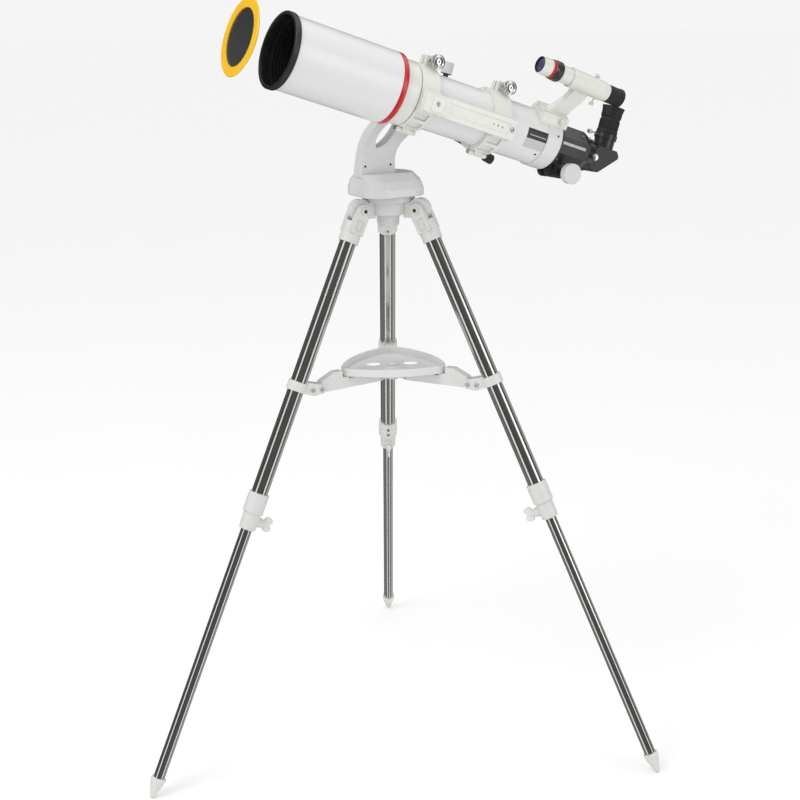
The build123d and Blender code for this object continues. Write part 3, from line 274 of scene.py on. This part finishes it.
# pivot bolts: enamelled washers round brassy heads, with painted shade darkening the middle of each head where the hex
# socket is
m = metal("pivot_bolt_finish_and_socket_shade", (0.60, 0.50, 0.36), 0.32, 800.0, 0.08, 0.4)
near = None
for az in LEGS.values():
    rho, tau, pivot, down, inward = leg_frame(az)
    r_ = m.radius(pivot, tau)
    near = r_ if near is None else m.math("MINIMUM", near, r_)
washer = m.math("GREATER_THAN", near, 0.0050)
# painted shade: a warm dark disc over the middle of each bolt head stands for the shaded hex socket
socket = m.math("LESS_THAN", near, 0.0030)
old = m.b.inputs["Base Color"].links[0].from_socket
m.l(m.mix(washer, m.mix(socket, old, (0.05, 0.04, 0.03)), CAST), m.b.inputs["Base Color"])
m.l(m.math("SUBTRACT", 1.0, washer), m.b.inputs["Metallic"])
assign(m.m, "leg_pivot_bolts")
assign(m_steel.m, "ring_hinge_pins", "altitude_axle")
assign(m_plastic.m, *[f"foot_{s}" for s in LEGS])
assign(m_tray.m, "accessory_tray")
assign(m_mount.m, "azimuth_axle", "azimuth_housing", "mount_arm", "saddle")
assign(m_cream.m, "dovetail_bar", "ring_fixed_halves", "ring_hinged_halves", "accessory_rail", "finder_shoe", "finder_bracket")
for s, az in LEGS.items():
    rho, tau, pivot, down, inward = leg_frame(az)
    assign(steel_tube(f"stainless_upper_{s}", pivot, down).m, f"upper_leg_{s}")
    assign(steel_tube(f"stainless_lower_{s}", pivot, down).m, f"lower_leg_{s}")
    # moulded wings on a plated screw
    w = enamel(f"wing_knob_moulding_{s}", (0.70, 0.705, 0.67), rough=0.4, coat=0.0, peel=0.12, bevel=0.0010)
    h = w.along(pivot + down * 0.632, inward)
    screw = w.math("LESS_THAN", h, 0.0261)
    old = w.b.inputs["Base Color"].links[0].from_socket
    w.l(w.mix(screw, old, (0.55, 0.54, 0.51)), w.b.inputs["Base Color"])
    w.l(screw, w.b.inputs["Metallic"])
    assign(w.m, f"wing_knob_{s}")

# lens cell: cream outside, black within the light path
m = enamel("lens_cell_enamel", CREAM, rough=0.30, peel=0.07, bevel=0.0006, coat=0.4)
inside = m.math("LESS_THAN", m.radius(P0, AX), 0.0585)
front = m.math("GREATER_THAN", m.along(P0, AX), 0.0045)
mask = m.math("MAXIMUM", m.math("MULTIPLY", inside, m.math("GREATER_THAN", m.along(P0, AX), -0.020)), front)
old = m.b.inputs["Base Color"].links[0].from_socket
m.l(m.mix(mask, old, (0.010, 0.010, 0.010)), m.b.inputs["Base Color"])
assign(m.m, "lens_cell")

# tube and dew shield: gloss white outside, matt black within
for node, r in (("main_tube", 0.0510), ("dew_shield", 0.0636)):
    m = enamel(f"{node}_enamel", TUBE, rough=0.34, coat=0.35, peel=0.025, bevel=0.0, dust=0.02, vary=0.012, spread=0.05)
    mask = m.math("LESS_THAN", m.radius(P0, AX), r)
    old = m.b.inputs["Base Color"].links[0].from_socket
    m.l(m.mix(mask, old, (0.010, 0.010, 0.010)), m.b.inputs["Base Color"])
    rold = m.b.inputs["Roughness"].links[0].from_socket
    m.l(m.mixf(mask, rold, 0.85), m.b.inputs["Roughness"])
    assign(m.m, node)
m = enamel("rear_cell_enamel", WHITE, rough=0.26, coat=0.5, peel=0.03, bevel=0.0005)
assign(m.m, "rear_cell")

# black optics hardware
m = black("focuser_satin_black", (0.020, 0.020, 0.021), 0.30, 0.07, 900.0, 0.35)
assign(m.m, "focuser_body", "star_diagonal")
m = black("drawtube_black", (0.016, 0.016, 0.017), 0.22, 0.03, 900.0, 0.5)
assign(m.m, "drawtube")
m = black("slow_motion_black", (0.020, 0.020, 0.020), 0.5, 0.2, 1500.0, 0.0)
assign(m.m, "slow_motion_knob")
assign(m_rubber.m, "finder_eyepiece")

# saddle clamp knob: steel screw, black stub, ribbed light grey head
m = enamel("saddle_knob_finish", (0.60, 0.605, 0.60), rough=0.36, coat=0.1, peel=0.1, bevel=0.0004)
x = m.along(P0, UP)
stub, screw = m.between(x, 0.0595, 0.0681), m.math("LESS_THAN", x, 0.0595)
old = m.b.inputs["Base Color"].links[0].from_socket
m.l(m.mix(screw, m.mix(stub, old, (0.02, 0.02, 0.02)), (0.55, 0.54, 0.52)), m.b.inputs["Base Color"])
m.l(screw, m.b.inputs["Metallic"])
assign(m.m, "saddle_knob")

# focus knobs: light grey heads with fine concentric rings, black hubs
m = enamel("focus_knob_finish", (0.62, 0.625, 0.615), rough=0.38, coat=0.15, peel=0.12, bevel=0.0005)
y = m.math("ABSOLUTE", m.along(P0, SIDE))
r = m.radius(at(-400, -49), SIDE)
hub = m.math("LESS_THAN", y, 0.0478)
old = m.b.inputs["Base Color"].links[0].from_socket
rings = m.math("SINE", m.math("MULTIPLY", r, 5200.0))
m.l(m.mix(hub, m.mix(m.math("MULTIPLY", m.math("GREATER_THAN", rings, 0.93), 0.12), old, (0.35, 0.35, 0.34)), (0.02, 0.02, 0.02)), m.b.inputs["Base Color"])
assign(m.m, "focus_knobs")

# finder: white tube, red band, black knurled ring, black inside
m = enamel("finder_enamel", CREAM, rough=0.28, coat=0.5, peel=0.04, bevel=0.0003)
s_ = m.along(F0, FAX)
red = m.between(s_, -0.0275, -0.0215)
blk = m.math("MAXIMUM", m.between(s_, -0.0450, -0.0275), m.math("LESS_THAN", m.radius(F0, FAX), 0.0152))
old = m.b.inputs["Base Color"].links[0].from_socket
m.l(m.mix(blk, m.mix(red, old, (0.52, 0.004, 0.012)), (0.015, 0.015, 0.016)), m.b.inputs["Base Color"])
assign(m.m, "finder_tube")

# coated lenses
m = Mat("coated_glass")
tint = m.mix(m.ramp(m.noise(12.0, 2.0), [(0.3, 0.0), (0.7, 1.0)]), (0.72, 0.80, 0.90), (0.80, 0.74, 0.88))
m.l(tint, m.b.inputs["Base Color"])
m.l(m.math("ADD", m.math("MULTIPLY", m.noise(40.0, 3.0), 0.02), 0.01), m.b.inputs["Roughness"])
m.set(Transmission_Weight=0.9, IOR=1.5, Coat_Weight=0.3)
m.bump(m.noise(70.0, 2.0), 0.004, 0.0001)
assign(m.m, "objective_lenses")

# thumb screws: cream on the finder, black on the focuser
m = enamel("thumb_screw_finish", (0.66, 0.66, 0.56), rough=0.35, peel=0.1, bevel=0.0004)
low = m.math("LESS_THAN", m.along(P0, FDIR), 0.03)
old = m.b.inputs["Base Color"].links[0].from_socket
m.l(m.mix(low, old, (0.03, 0.03, 0.03)), m.b.inputs["Base Color"])
assign(m.m, "thumb_screws")

# solar filter: moulded yellow ring, crinkled dark film
m = Mat("yellow_moulding")
y_ = m.noise(18.0, 4.0, 0.6)
m.l(m.mix(m.ramp(y_, [(0.35, 0.0), (0.7, 1.0)]), (0.83, 0.45, 0.004), (0.90, 0.52, 0.007)), m.b.inputs["Base Color"])
m.l(m.math("ADD", m.math("MULTIPLY", m.noise(60.0, 4.0), 0.15), 0.30), m.b.inputs["Roughness"])
m.set(Coat_Weight=0.2, Coat_Roughness=0.2, Subsurface_Weight=0.05)
m.bump(m.noise(1000.0, 2.0), 0.08, 0.0003, 0.0004)
m_yellow = m
assign(m.m, "solar_filter_ring")
m = Mat("solar_film")
crinkle = m.noise(55.0, 5.0, 0.62)
wave = m.noise(16.0, 2.0, 0.5)
# painted shading: the film is coloured lighter towards the bottom and darker towards the top
film_height_shading = m.math("MULTIPLY", m.math("ADD", m.along(P0, UP), 0.055), 9.0)
m.l(m.mix(film_height_shading, (0.085, 0.085, 0.090), (0.052, 0.052, 0.056)), m.b.inputs["Base Color"])
m.l(m.math("ADD", m.math("MULTIPLY", crinkle, 0.18), 0.30), m.b.inputs["Roughness"])
m.set(Metallic=0.55)
m.bump(m.math("ADD", m.math("MULTIPLY", crinkle, 0.35), wave), 0.22, 0.002)
m_film = m
assign(m.m, "solar_filter_foil")


# ------------------------------------------------------------------ mesh helpers
def mesh_object(name, bm, material, body, angle=32):
    bmesh.ops.recalc_face_normals(bm, faces=bm.faces)
    me = bpy.data.meshes.new(name)
    bm.to_mesh(me)
    bm.free()
    ob = bpy.data.objects.new(name, me)
    bpy.context.scene.collection.objects.link(ob)
    me.shade_smooth()
    me.set_sharp_from_angle(angle=radians(angle))
    me.materials.append(material)
    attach(ob, body)
    return ob


def basis(axis, ref):
    z = Vector(axis).normalized()
    x = (Vector(ref) - z * Vector(ref).dot(z)).normalized()
    return x, z.cross(x), z


def lathe(bm, origin, axis, ref, profile, n=72, mod=None, closed=True):
    """Turns a profile of (radius, station) in millimetres round an axis; mod(i, r, s, angle) may change a radius."""
    x, y, z = basis(axis, ref)
    rings = []
    for i, (r, s) in enumerate(profile):
        ring = []
        for k in range(n):
            a = 2 * pi * k / n
            rr = mod(i, r, s, a) if mod else r
            ring.append(bm.verts.new(Vector(origin) + (x * cos(a) + y * sin(a)) * rr / 1000 + z * s / 1000))
        rings.append(ring)
    pairs = list(zip(rings, rings[1:]))
    if closed:
        pairs.append((rings[-1], rings[0]))
    for p, q in pairs:
        for k in range(n):
            bm.faces.new((p[k], p[(k + 1) % n], q[(k + 1) % n], q[k]))
    if not closed:
        for ring in (rings[0], rings[-1]):
            bm.faces.new(ring)
    return rings


def hexr(r, a):
    """Radius of a hexagon of across-corner radius r at angle a."""
    b = (a + pi / 6) % (pi / 3) - pi / 6
    return r * cos(pi / 6) / cos(b)


def turned(name, origin, axis, ref, profile, material, body, n=72, mod=None, closed=True, angle=32):
    bm = bmesh.new()
    lathe(bm, origin, axis, ref, profile, n, mod, closed)
    return mesh_object(name, bm, material, body, angle)


def socket_screw(name, origin, axis, ref, r, h, material, body, hexagon=True):
    """Cap screw with a chamfered rim and a hexagon socket; origin is under the head."""
    rh = r * 0.56
    prof = [(r * 0.55, 0), (r, 0), (r, h * 0.86), (r * 0.90, h), (rh, h), (rh * 0.98, h * 0.94), (rh * 0.96, h * 0.42), (0.02, h * 0.36)]
    return turned(name, origin, axis, ref, prof, material, body, 48,
                  (lambda i, rr, s, a: hexr(rr, a) if i in (4, 5, 6) else rr) if hexagon else None, False, 25)


def knurl(depth, count, lo, hi):
    """Radius modifier: vertical ribs between two profile indices."""
    return lambda i, r, s, a: r - depth * (0.5 + 0.5 * cos(a * count)) if lo <= i <= hi else r


# ------------------------------------------------------------------ telescope details
m_red = enamel("red_anodised_ring", (0.52, 0.003, 0.010), rough=0.28, coat=0.5, peel=0.04, bevel=0.0, vary=0.06)
turned("accent_ring", P0, AX, UP, [(65.42, 10.95), (65.42, 4.45), (63.05, 4.45), (63.05, 3.95), (59.6, 3.95), (59.6, -0.5), (65.3, -0.5), (65.9, 0.0),
                                   (65.98, 0.6), (65.98, 10.3), (65.8, 10.8)],
       m_red.m, "telescope", 180)

# front rim with a fine diamond knurl
def rim_grip(i, r, s, a):
    if 9 <= i <= 16:
        return r - 0.42 * (0.5 + 0.5 * cos(a * 150 + (i % 2) * pi))
    return r
rim = [(62.9, 214.2), (62.7, 215.4), (62.5, 223), (62.5, 229.2), (63.0, 230.2), (63.9, 230.45), (66.6, 230.45), (67.9, 230.2), (68.6, 229.6)]
rim += [(68.98, 229.2 - k * 1.22) for k in range(8)]
rim += [(68.5, 220.1), (67.8, 219.55), (66.4, 219.6), (62.9, 219.6)]
ob = turned("front_rim_knurled", P0, AX, UP, rim, black("rim_black", (0.016, 0.016, 0.016), 0.42, 0.15, 1300.0, 0.1).m,
            "telescope", 600, rim_grip, True, 60)
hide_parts("front_rim")

# light baffles inside the dew shield
prof = [(63.05, 18.6)]
for k in range(31):
    z0 = 19.0 + k * 6.2
    prof += [(62.8, z0), (62.1, z0 + 1.2), (62.8, z0 + 2.4)]
prof += [(62.8, 212.8), (63.05, 213.4)]
turned("dew_shield_lining", P0, AX, UP, prof, m_matte.m, "telescope", 128)

# label plate bent round the tube, dark above and silver below, no lettering
def plate(name, t0, t1, th0, th1, r0, r1, material, nt=14, na=22, body="telescope"):
    bm = bmesh.new()
    grids = []
    for r in (r0, r1):
        inset = 0 if r == r0 else 0.35
        g = []
        for i in range(nt + 1):
            t = t0 + (t1 - t0) * i / nt
            t = min(max(t, min(t0, t1) + inset), max(t0, t1) - inset)
            row = []
            for j in range(na + 1):
                th = radians(th0 + (th1 - th0) * j / na)
                row.append(bm.verts.new(at(t, r * cos(th), r * sin(th))))
            g.append(row)
        grids.append(g)
    a, b = grids
    for i in range(nt):
        for j in range(na):
            bm.faces.new((a[i][j], a[i][j + 1], a[i + 1][j + 1], a[i + 1][j]))
            bm.faces.new((b[i][j], b[i + 1][j], b[i + 1][j + 1], b[i][j + 1]))
    for i in range(nt):
        for j in (0, na):
            bm.faces.new((a[i][j], a[i + 1][j], b[i + 1][j], b[i][j]))
    for j in range(na):
        for i in (0, nt):
            bm.faces.new((a[i][j], a[i][j + 1], b[i][j + 1], b[i][j]))
    return mesh_object(name, bm, material, body)


m = Mat("label_finish")
d = m.vec("SUBTRACT", m.co, tuple(P0))
ang = m.math("ARCTAN2", m.vec("DOT_PRODUCT", d, tuple(SIDE), 1), m.vec("DOT_PRODUCT", d, tuple(UP), 1))
t_ = m.along(P0, AX)
dark = m.math("GREATER_THAN", ang, radians(-100.5))
grain = m.noise(900.0, 2.0)
field = m.between(t_, -0.3245, -0.2865)
line = m.math("MULTIPLY", field, m.between(ang, radians(-93.2), radians(-91.8)))
c1 = m.mix(grain, (0.46, 0.46, 0.46), (0.56, 0.56, 0.56))
c2 = m.mix(line, (0.022, 0.020, 0.019), (0.50, 0.50, 0.50))
m.l(m.mix(dark, c1, c2), m.b.inputs["Base Color"])
m.l(m.math("ADD", m.math("MULTIPLY", grain, 0.1), 0.32), m.b.inputs["Roughness"])
m.set(Coat_Weight=0.3)
m.bump(grain, 0.03, 0.0001)
plate("label_plate", -331.0, -280.5, -121, -79.5, 52.02, 52.42, m.m)

# cap screws in the rail
for nm, t, x0, y0, r in (("rail_screw_front", -64.6, -7.2, -67.2, 4.4), ("rail_screw_rear", -234.0, -7.4, -67.2, 3.9)):
    socket_screw(nm, at(t, x0, y0), -SIDE, UP, r, 4.6, m_steel.m, "ring_halves")
# screws in the foot of the arm
for nm, h, z in (("arm_screw_front", 56.9, 1174.5), ("arm_screw_rear", 2.3, 1174.9)):
    o = SIDE * (116.0 - 130.9 + 0.6) / 1000 + AHEAD * h / 1000 + Vector((0, 0, z / 1000))
    socket_screw(nm, o, -SIDE, UP, 2.1, 0.9, m_hole_shade.m, "mount")
# rear cell and tube screws
for k, (t, th, r) in enumerate(((-349, -79, 54.8), (-349, 41, 54.8), (-349, 161, 54.8), (-318, -131, 52.0), (-318, 109, 52.0))):
    c, s = cos(radians(th)), sin(radians(th))
    dirn = UP * c + SIDE * s
    socket_screw(f"cell_screw_{k + 1}", at(t, (r - 0.1) * c, (r - 0.1) * s), dirn, AX, 1.9, 1.0, m_hole_shade.m, "telescope")

# clamp knobs of the rings, ribbed rim, dished face, socket in the middle
for nm, mid in (("ring_knob_front", -52.0), ("ring_knob_rear", -215.0)):
    st = mid - 9.5
    prof = [(3.9, 10), (3.9, -15.2), (6.9, -15.2), (6.9, -30.1), (8.8, -30.9), (12.1, -31.0), (12.9, -31.5), (12.9, -33.0),
            (12.1, -33.6), (12.1, -34.4), (12.9, -35.0), (12.9, -41.3), (12.4, -42.3), (11.4, -42.85), (9.8, -42.95), (9.2, -42.5), (8.4, -40.9),
            (5.0, -40.0), (4.7, -41.4), (4.3, -41.7), (2.6, -41.7), (2.5, -41.4), (2.45, -38.5), (0.02, -38.3)]
    def mod(i, r, s, a):
        if i in (10, 11):
            return r - 0.55 * (0.5 + 0.5 * cos(a * 36))
        if i in (20, 21, 22):
            return hexr(r, a)
        return r
    ob = turned(nm + "_turned", at(st, 67.5, 0), SIDE, AX, prof, m_chrome.m, nm, 288, mod, False, 28)
    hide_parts(nm)

# hinge pin heads and ring fastening screws on the far cradle
for k, mid in enumerate((-52.0, -215.0)):
    for j, dt in enumerate((-12.0, 12.0)):
        socket_screw(f"cradle_screw_{2 * k + j + 1}", at(mid + dt, 0, 78.05), SIDE, UP, 3.2, 2.4, m_steel.m, "telescope")

# ------------------------------------------------------------------ focuser details
# bright strip on the near flank of the body
bm = bmesh.new()
R8 = 42.5 * cos(pi / 8)
pts = []
for t, w in ((-372.0, 3.2), (-430.0, 3.2)):
    pts.append([at(t, 4.5 + w, -R8 + 0.05), at(t, 4.5 - w, -R8 + 0.05), at(t, 4.5 - w + 0.5, -R8 - 0.75), at(t, 4.5 + w - 0.5, -R8 - 0.75)])
v = [[bm.verts.new(p) for p in row] for row in pts]
for k in range(4):
    bm.faces.new((v[0][k], v[0][(k + 1) % 4], v[1][(k + 1) % 4], v[1][k]))
bm.faces.new(v[0]); bm.faces.new(v[1])
mesh_object("focuser_strip", bm, m_steel.m, "telescope")
for k, (t, x0) in enumerate(((-377, 24), (-424, 24), (-377, -24), (-424, -24))):
    n_ = (UP * (1 if x0 > 0 else -1) - SIDE).normalized()
    o = P0 + AX * t / 1000 + n_ * (R8 - 0.1) / 1000
    socket_screw(f"focuser_screw_{k + 1}", o, n_, AX, 2.3, 1.7, m_steel.m, "telescope")


def thumb(name, origin, axis, ref, body, r=4.2, stem=1.6, length=14.0, head=8.5, material=None, ribs=20):
    prof = [(stem, 0), (stem, length), (r * 0.8, length + 0.1), (r, length + 0.8), (r, length + head - 0.9), (r * 0.82, length + head), (r * 0.5, length + head - 0.2), (0.02, length + head - 0.3)]
    return turned(name, origin, axis, ref, prof, (material or m_chrome).m, body, 120, knurl(0.45, ribs, 3, 4), False, 28)


thumb("eyepiece_screw_upper", at(-497 + 22.6, 46.8, 0), AX, UP, "diagonal")
thumb("eyepiece_screw_lower", at(-497 + 20.1, 31.0, 0), AX, UP, "diagonal")
thumb("diagonal_clamp_screw", at(-455, -3, -31.3), -SIDE, UP, "drawtube", 6.8, 2.2, 4.5, 8.5, m_chrome, 28)

# eyepiece with grip bands and a soft eyecup
prof = [(15.8, 25), (15.8, 51.9), (19.9, 52.1), (20.8, 52.8), (20.8, 59.6), (20.2, 60.4), (19.4, 60.8), (19.4, 62.0)]
for k in range(6):
    z0 = 62.6 + k * 2.9
    prof += [(20.35, z0), (20.35, z0 + 1.7), (19.75, z0 + 2.0), (19.75, z0 + 2.6)]
prof += [(19.2, 80.4), (18.9, 81.2), (18.9, 83.6), (19.9, 84.4), (20.5, 86.0), (20.6, 95.0), (21.4, 100.5), (22.5, 105.2), (22.4, 106.2), (21.6, 106.45),
         (18.6, 104.5), (15.2, 99.8), (12.2, 97.2), (11.6, 95.2), (11.5, 92.2), (14.2, 90.0), (14.2, 25)]
ob = turned("eyepiece_barrel", at(-497), UP, AX, prof, m_rubber.m, "diagonal", 144,
            lambda i, r, s, a: r - 0.32 * (0.5 + 0.5 * cos(a * 60)) if 20.3 < r < 20.4 and 62 < s < 80 else r, True, 30)
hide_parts("eyepiece")
m = Mat("eye_lens_coating")
m.l(m.mix(m.noise(90.0, 2.0), (0.10, 0.13, 0.30), (0.20, 0.12, 0.30)), m.b.inputs["Base Color"])
m.l(m.math("ADD", m.math("MULTIPLY", m.noise(30.0, 2.0), 0.03), 0.03), m.b.inputs["Roughness"])
m.set(Coat_Weight=1.0)
turned("eye_lens", at(-497), UP, AX, [(0.02, 93.4), (4, 93.3), (8, 92.9), (11.4, 92.3), (11.4, 90.5), (0.02, 90.5)], m.m, "diagonal", 64, None, False)
m = Mat("finder_lens_coating_and_shade")
# painted shading: the coating tint is darker in the middle of the lens and lighter towards the rim
rr = m.math("MULTIPLY", m.radius(F0, FAX), 68.0)
m.l(m.mix(rr, (0.045, 0.055, 0.105), (0.085, 0.10, 0.17)), m.b.inputs["Base Color"])
m.l(m.math("ADD", m.math("MULTIPLY", m.noise(60.0, 2.0), 0.03), 0.04), m.b.inputs["Roughness"])
m.set(Coat_Weight=1.0, Coat_Roughness=0.02)
turned("finder_lens_coating_and_shade", F0, FAX, FDIR, [(0.02, -2.9), (4, -3.0), (8, -3.4), (12, -4.1), (14.3, -4.8), (14.3, -5.4), (12, -4.9), (8, -4.2), (4, -3.8), (0.02, -3.7)],
       m.m, "telescope", 72, None, False)
# knurled locking ring of the finder
turned("finder_lock_ring", F0, FAX, FDIR, [(17.0, -45.6), (18.6, -45.0), (19.1, -44.2), (19.1, -41.6), (18.4, -41.0), (18.4, -40.2), (19.1, -39.6), (19.1, -34.0), (18.4, -33.0), (17.4, -29.6), (16.7, -28.0), (16.2, -28.0)],
       m_black.m, "telescope", 240, knurl(0.35, 60, 6, 7), True, 30)
m = enamel("finder_red_band", (0.52, 0.003, 0.010), rough=0.26, coat=0.5, peel=0.04, bevel=0.0, vary=0.06)
turned("finder_accent_ring", F0, FAX, FDIR, [(16.2, -21.4), (16.9, -21.7), (17.1, -22.3), (17.1, -26.9), (16.8, -27.5), (16.2, -27.7)], m.m, "telescope", 120)

# ------------------------------------------------------------------ leg details
for s, az in LEGS.items():
    rho, tau, pivot, down, inward = leg_frame(az)
    for k, t in enumerate((588.0, 602.0)):
        socket_screw(f"leg_lock_screw_{s}_{k + 1}", pivot + down * t / 1000 + inward * 0.0198, inward, down, 3.3, 1.7, m_steel.m, f"leg_{s}")
    # heads of the hinge pin and clamp bolt on the collar ears
    pin = rho * 0.171 + Vector((0, 0, 0.755))
    for k, (dr, dz) in enumerate(((0.0, 0.0), (0.020, 0.001))):
        for j, sg in enumerate((-1, 1)):
            socket_screw(f"collar_head_{s}_{2 * k + j + 1}", pin + rho * dr + Vector((0, 0, dz)) + tau * sg * 0.0155, tau * sg, rho, 3.9, 1.5,
                         m_steel.m, f"leg_{s}")
    socket_screw(f"yoke_screw_{s}", pivot + down * 0.056 + inward * 0.0195, inward, down, 2.3, 1.2, m_brassy.m, f"leg_{s}")

# plastic cap on the tray stud
turned("tray_stud_cap", Vector((0, 0, 0)), (0, 0, 1), (1, 0, 0), [(6.1, 775.45), (9.8, 775.45), (10.6, 775.9), (10.6, 776.7), (9.8, 777.2), (6.0, 777.4), (0.02, 777.5)],
       m_plastic.m, "spreader", 96, knurl(0.5, 24, 2, 3), False, 30)

# ------------------------------------------------------------------ stage, light, camera
bm = bmesh.new()
bmesh.ops.create_grid(bm, x_segments=24, y_segments=24, size=40.0)
me = bpy.data.meshes.new("floor")
bm.to_mesh(me); bm.free()
floor = bpy.data.objects.new("floor", me)
bpy.context.scene.collection.objects.link(floor)
floor.location = (0, 20.0, -0.0003)
m = Mat("floor_paper")
m.l(m.mix(m.noise(3.0, 3.0), (0.935, 0.935, 0.935), (0.95, 0.95, 0.95)), m.b.inputs["Base Color"])
m.l(m.math("ADD", m.math("MULTIPLY", m.noise(20.0, 3.0), 0.1), 0.85), m.b.inputs["Roughness"])
m.set(Specular_IOR_Level=0.1)
me.materials.append(m.m)
floor.visible_glossy = False

C = Vector((-0.11606, -2.7936, 1.48192))
PHI, PITCH_, ROLL = radians(-2.38 - 1.52), radians(15.62), radians(-0.88)
fw = Vector((-sin(PHI) * cos(PITCH_), cos(PHI) * cos(PITCH_), -sin(PITCH_)))
rt = Vector((cos(PHI), sin(PHI), 0))
up = rt.cross(fw)
rt2 = rt * cos(ROLL) + up * sin(ROLL)
up2 = -rt * sin(ROLL) + up * cos(ROLL)
cam_data = bpy.data.cameras.new("camera")
cam_data.sensor_width = 36.0
cam_data.lens = 1439.0 / 800.0 * 36.0
cam_data.shift_x = -0.0375
cam_data.clip_end = 200.0
cam = bpy.data.objects.new("camera", cam_data)
bpy.context.scene.collection.objects.link(cam)
cam.matrix_world = Matrix(((rt2.x, up2.x, -fw.x, C.x), (rt2.y, up2.y, -fw.y, C.y), (rt2.z, up2.z, -fw.z, C.z), (0, 0, 0, 1)))
bpy.context.scene.camera = cam


def area(name, loc, target, size, power, size_y=None):
    d = bpy.data.lights.new(name, "AREA")
    d.shape = "RECTANGLE"
    d.size, d.size_y = size, size_y or size
    d.energy = power
    ob = bpy.data.objects.new(name, d)
    bpy.context.scene.collection.objects.link(ob)
    ob.location = loc
    ob.rotation_euler = (Vector(target) - Vector(loc)).to_track_quat("-Z", "Y").to_euler()
    return ob


area("key", (-1.8, -1.6, 3.6), (0, 0, 1.1), 1.8, 34.0)
area("fill", (2.6, -2.2, 1.6), (0, 0, 0.9), 1.6, 8.0)

# studio surround: even white for diffuse light, dark with soft boxes for reflections
world = bpy.data.worlds.new("studio")
bpy.context.scene.world = world
world.use_nodes = True
nt = world.node_tree
nt.nodes.clear()


def wn(kind, **kw):
    node = nt.nodes.new(kind)
    for k, v in kw.items():
        setattr(node, k, v)
    return node


def wm(op, a, b=None):
    node = wn("ShaderNodeMath", operation=op)
    for i, v in enumerate((a, b)):
        if v is None:
            continue
        if hasattr(v, "is_linked"):
            nt.links.new(v, node.inputs[i])
        else:
            node.inputs[i].default_value = v
    return node.outputs[0]


wco = wn("ShaderNodeTexCoord").outputs["Generated"]
wsep = wn("ShaderNodeSeparateXYZ")
nt.links.new(wco, wsep.inputs[0])
wx, wy, wz = wsep.outputs
azim = wm("DIVIDE", wm("ABSOLUTE", wm("ARCTAN2", wm("ADD", wx, wm("MULTIPLY", wy, 0.0682)), wm("MULTIPLY", wy, -1.0))), pi)
ramp = wn("ShaderNodeValToRGB")
stops = [(0.0, 0.08), (0.20, 0.05), (0.240, 0.08), (0.268, 1.0), (0.332, 1.0), (0.360, 0.08), (0.42, 0.04), (0.52, 0.10), (0.62, 0.34), (0.72, 0.36), (0.84, 0.10), (0.90, 0.03), (1.0, 0.02)]
els = ramp.color_ramp.elements
while len(els) < len(stops):
    els.new(0.5)
for e, (p, c) in zip(els, stops):
    e.position = p
    e.color = (c, c, c, 1)
nt.links.new(azim, ramp.inputs[0])
top = wn("ShaderNodeMapRange")
top.inputs["From Min"].default_value = 0.45
top.inputs["From Max"].default_value = 0.75
nt.links.new(wz, top.inputs[0])
low = wn("ShaderNodeMapRange")
low.inputs["From Min"].default_value = -0.20
low.inputs["From Max"].default_value = -0.55
nt.links.new(wz, low.inputs[0])
# the left side of the room is darker than the right
shade = wm("MULTIPLY", wm("MULTIPLY", wm("LESS_THAN", wx, 0.0), wm("GREATER_THAN", azim, 0.5)), 0.72)
sides = wm("MULTIPLY", ramp.outputs[0], wm("SUBTRACT", 1.0, shade))
glow = wm("ADD", wm("ADD", wm("MULTIPLY", sides, 1.6), wm("MULTIPLY", top.outputs[0], 1.1)), wm("MULTIPLY", low.outputs[0], 0.16))
bg_gloss = wn("ShaderNodeBackground")
nt.links.new(glow, bg_gloss.inputs[1])
bg = wn("ShaderNodeBackground")
bg.inputs[0].default_value = (1.0, 1.0, 1.0, 1)
bg.inputs[1].default_value = 0.97
bg_cam = wn("ShaderNodeBackground")
bg_cam.inputs[0].default_value = (1.0, 1.0, 1.0, 1)
bg_cam.inputs[1].default_value = 0.915
lp = wn("ShaderNodeLightPath")
mix1 = wn("ShaderNodeMixShader")
mix2 = wn("ShaderNodeMixShader")
wout = wn("ShaderNodeOutputWorld")
nt.links.new(lp.outputs["Is Glossy Ray"], mix1.inputs[0])
nt.links.new(bg.outputs[0], mix1.inputs[1])
nt.links.new(bg_gloss.outputs[0], mix1.inputs[2])
nt.links.new(lp.outputs["Is Camera Ray"], mix2.inputs[0])
nt.links.new(mix1.outputs[0], mix2.inputs[1])
nt.links.new(bg_cam.outputs[0], mix2.inputs[2])
nt.links.new(mix2.outputs[0], wout.inputs[0])
bpy.context.scene.view_settings.view_transform = "Standard"
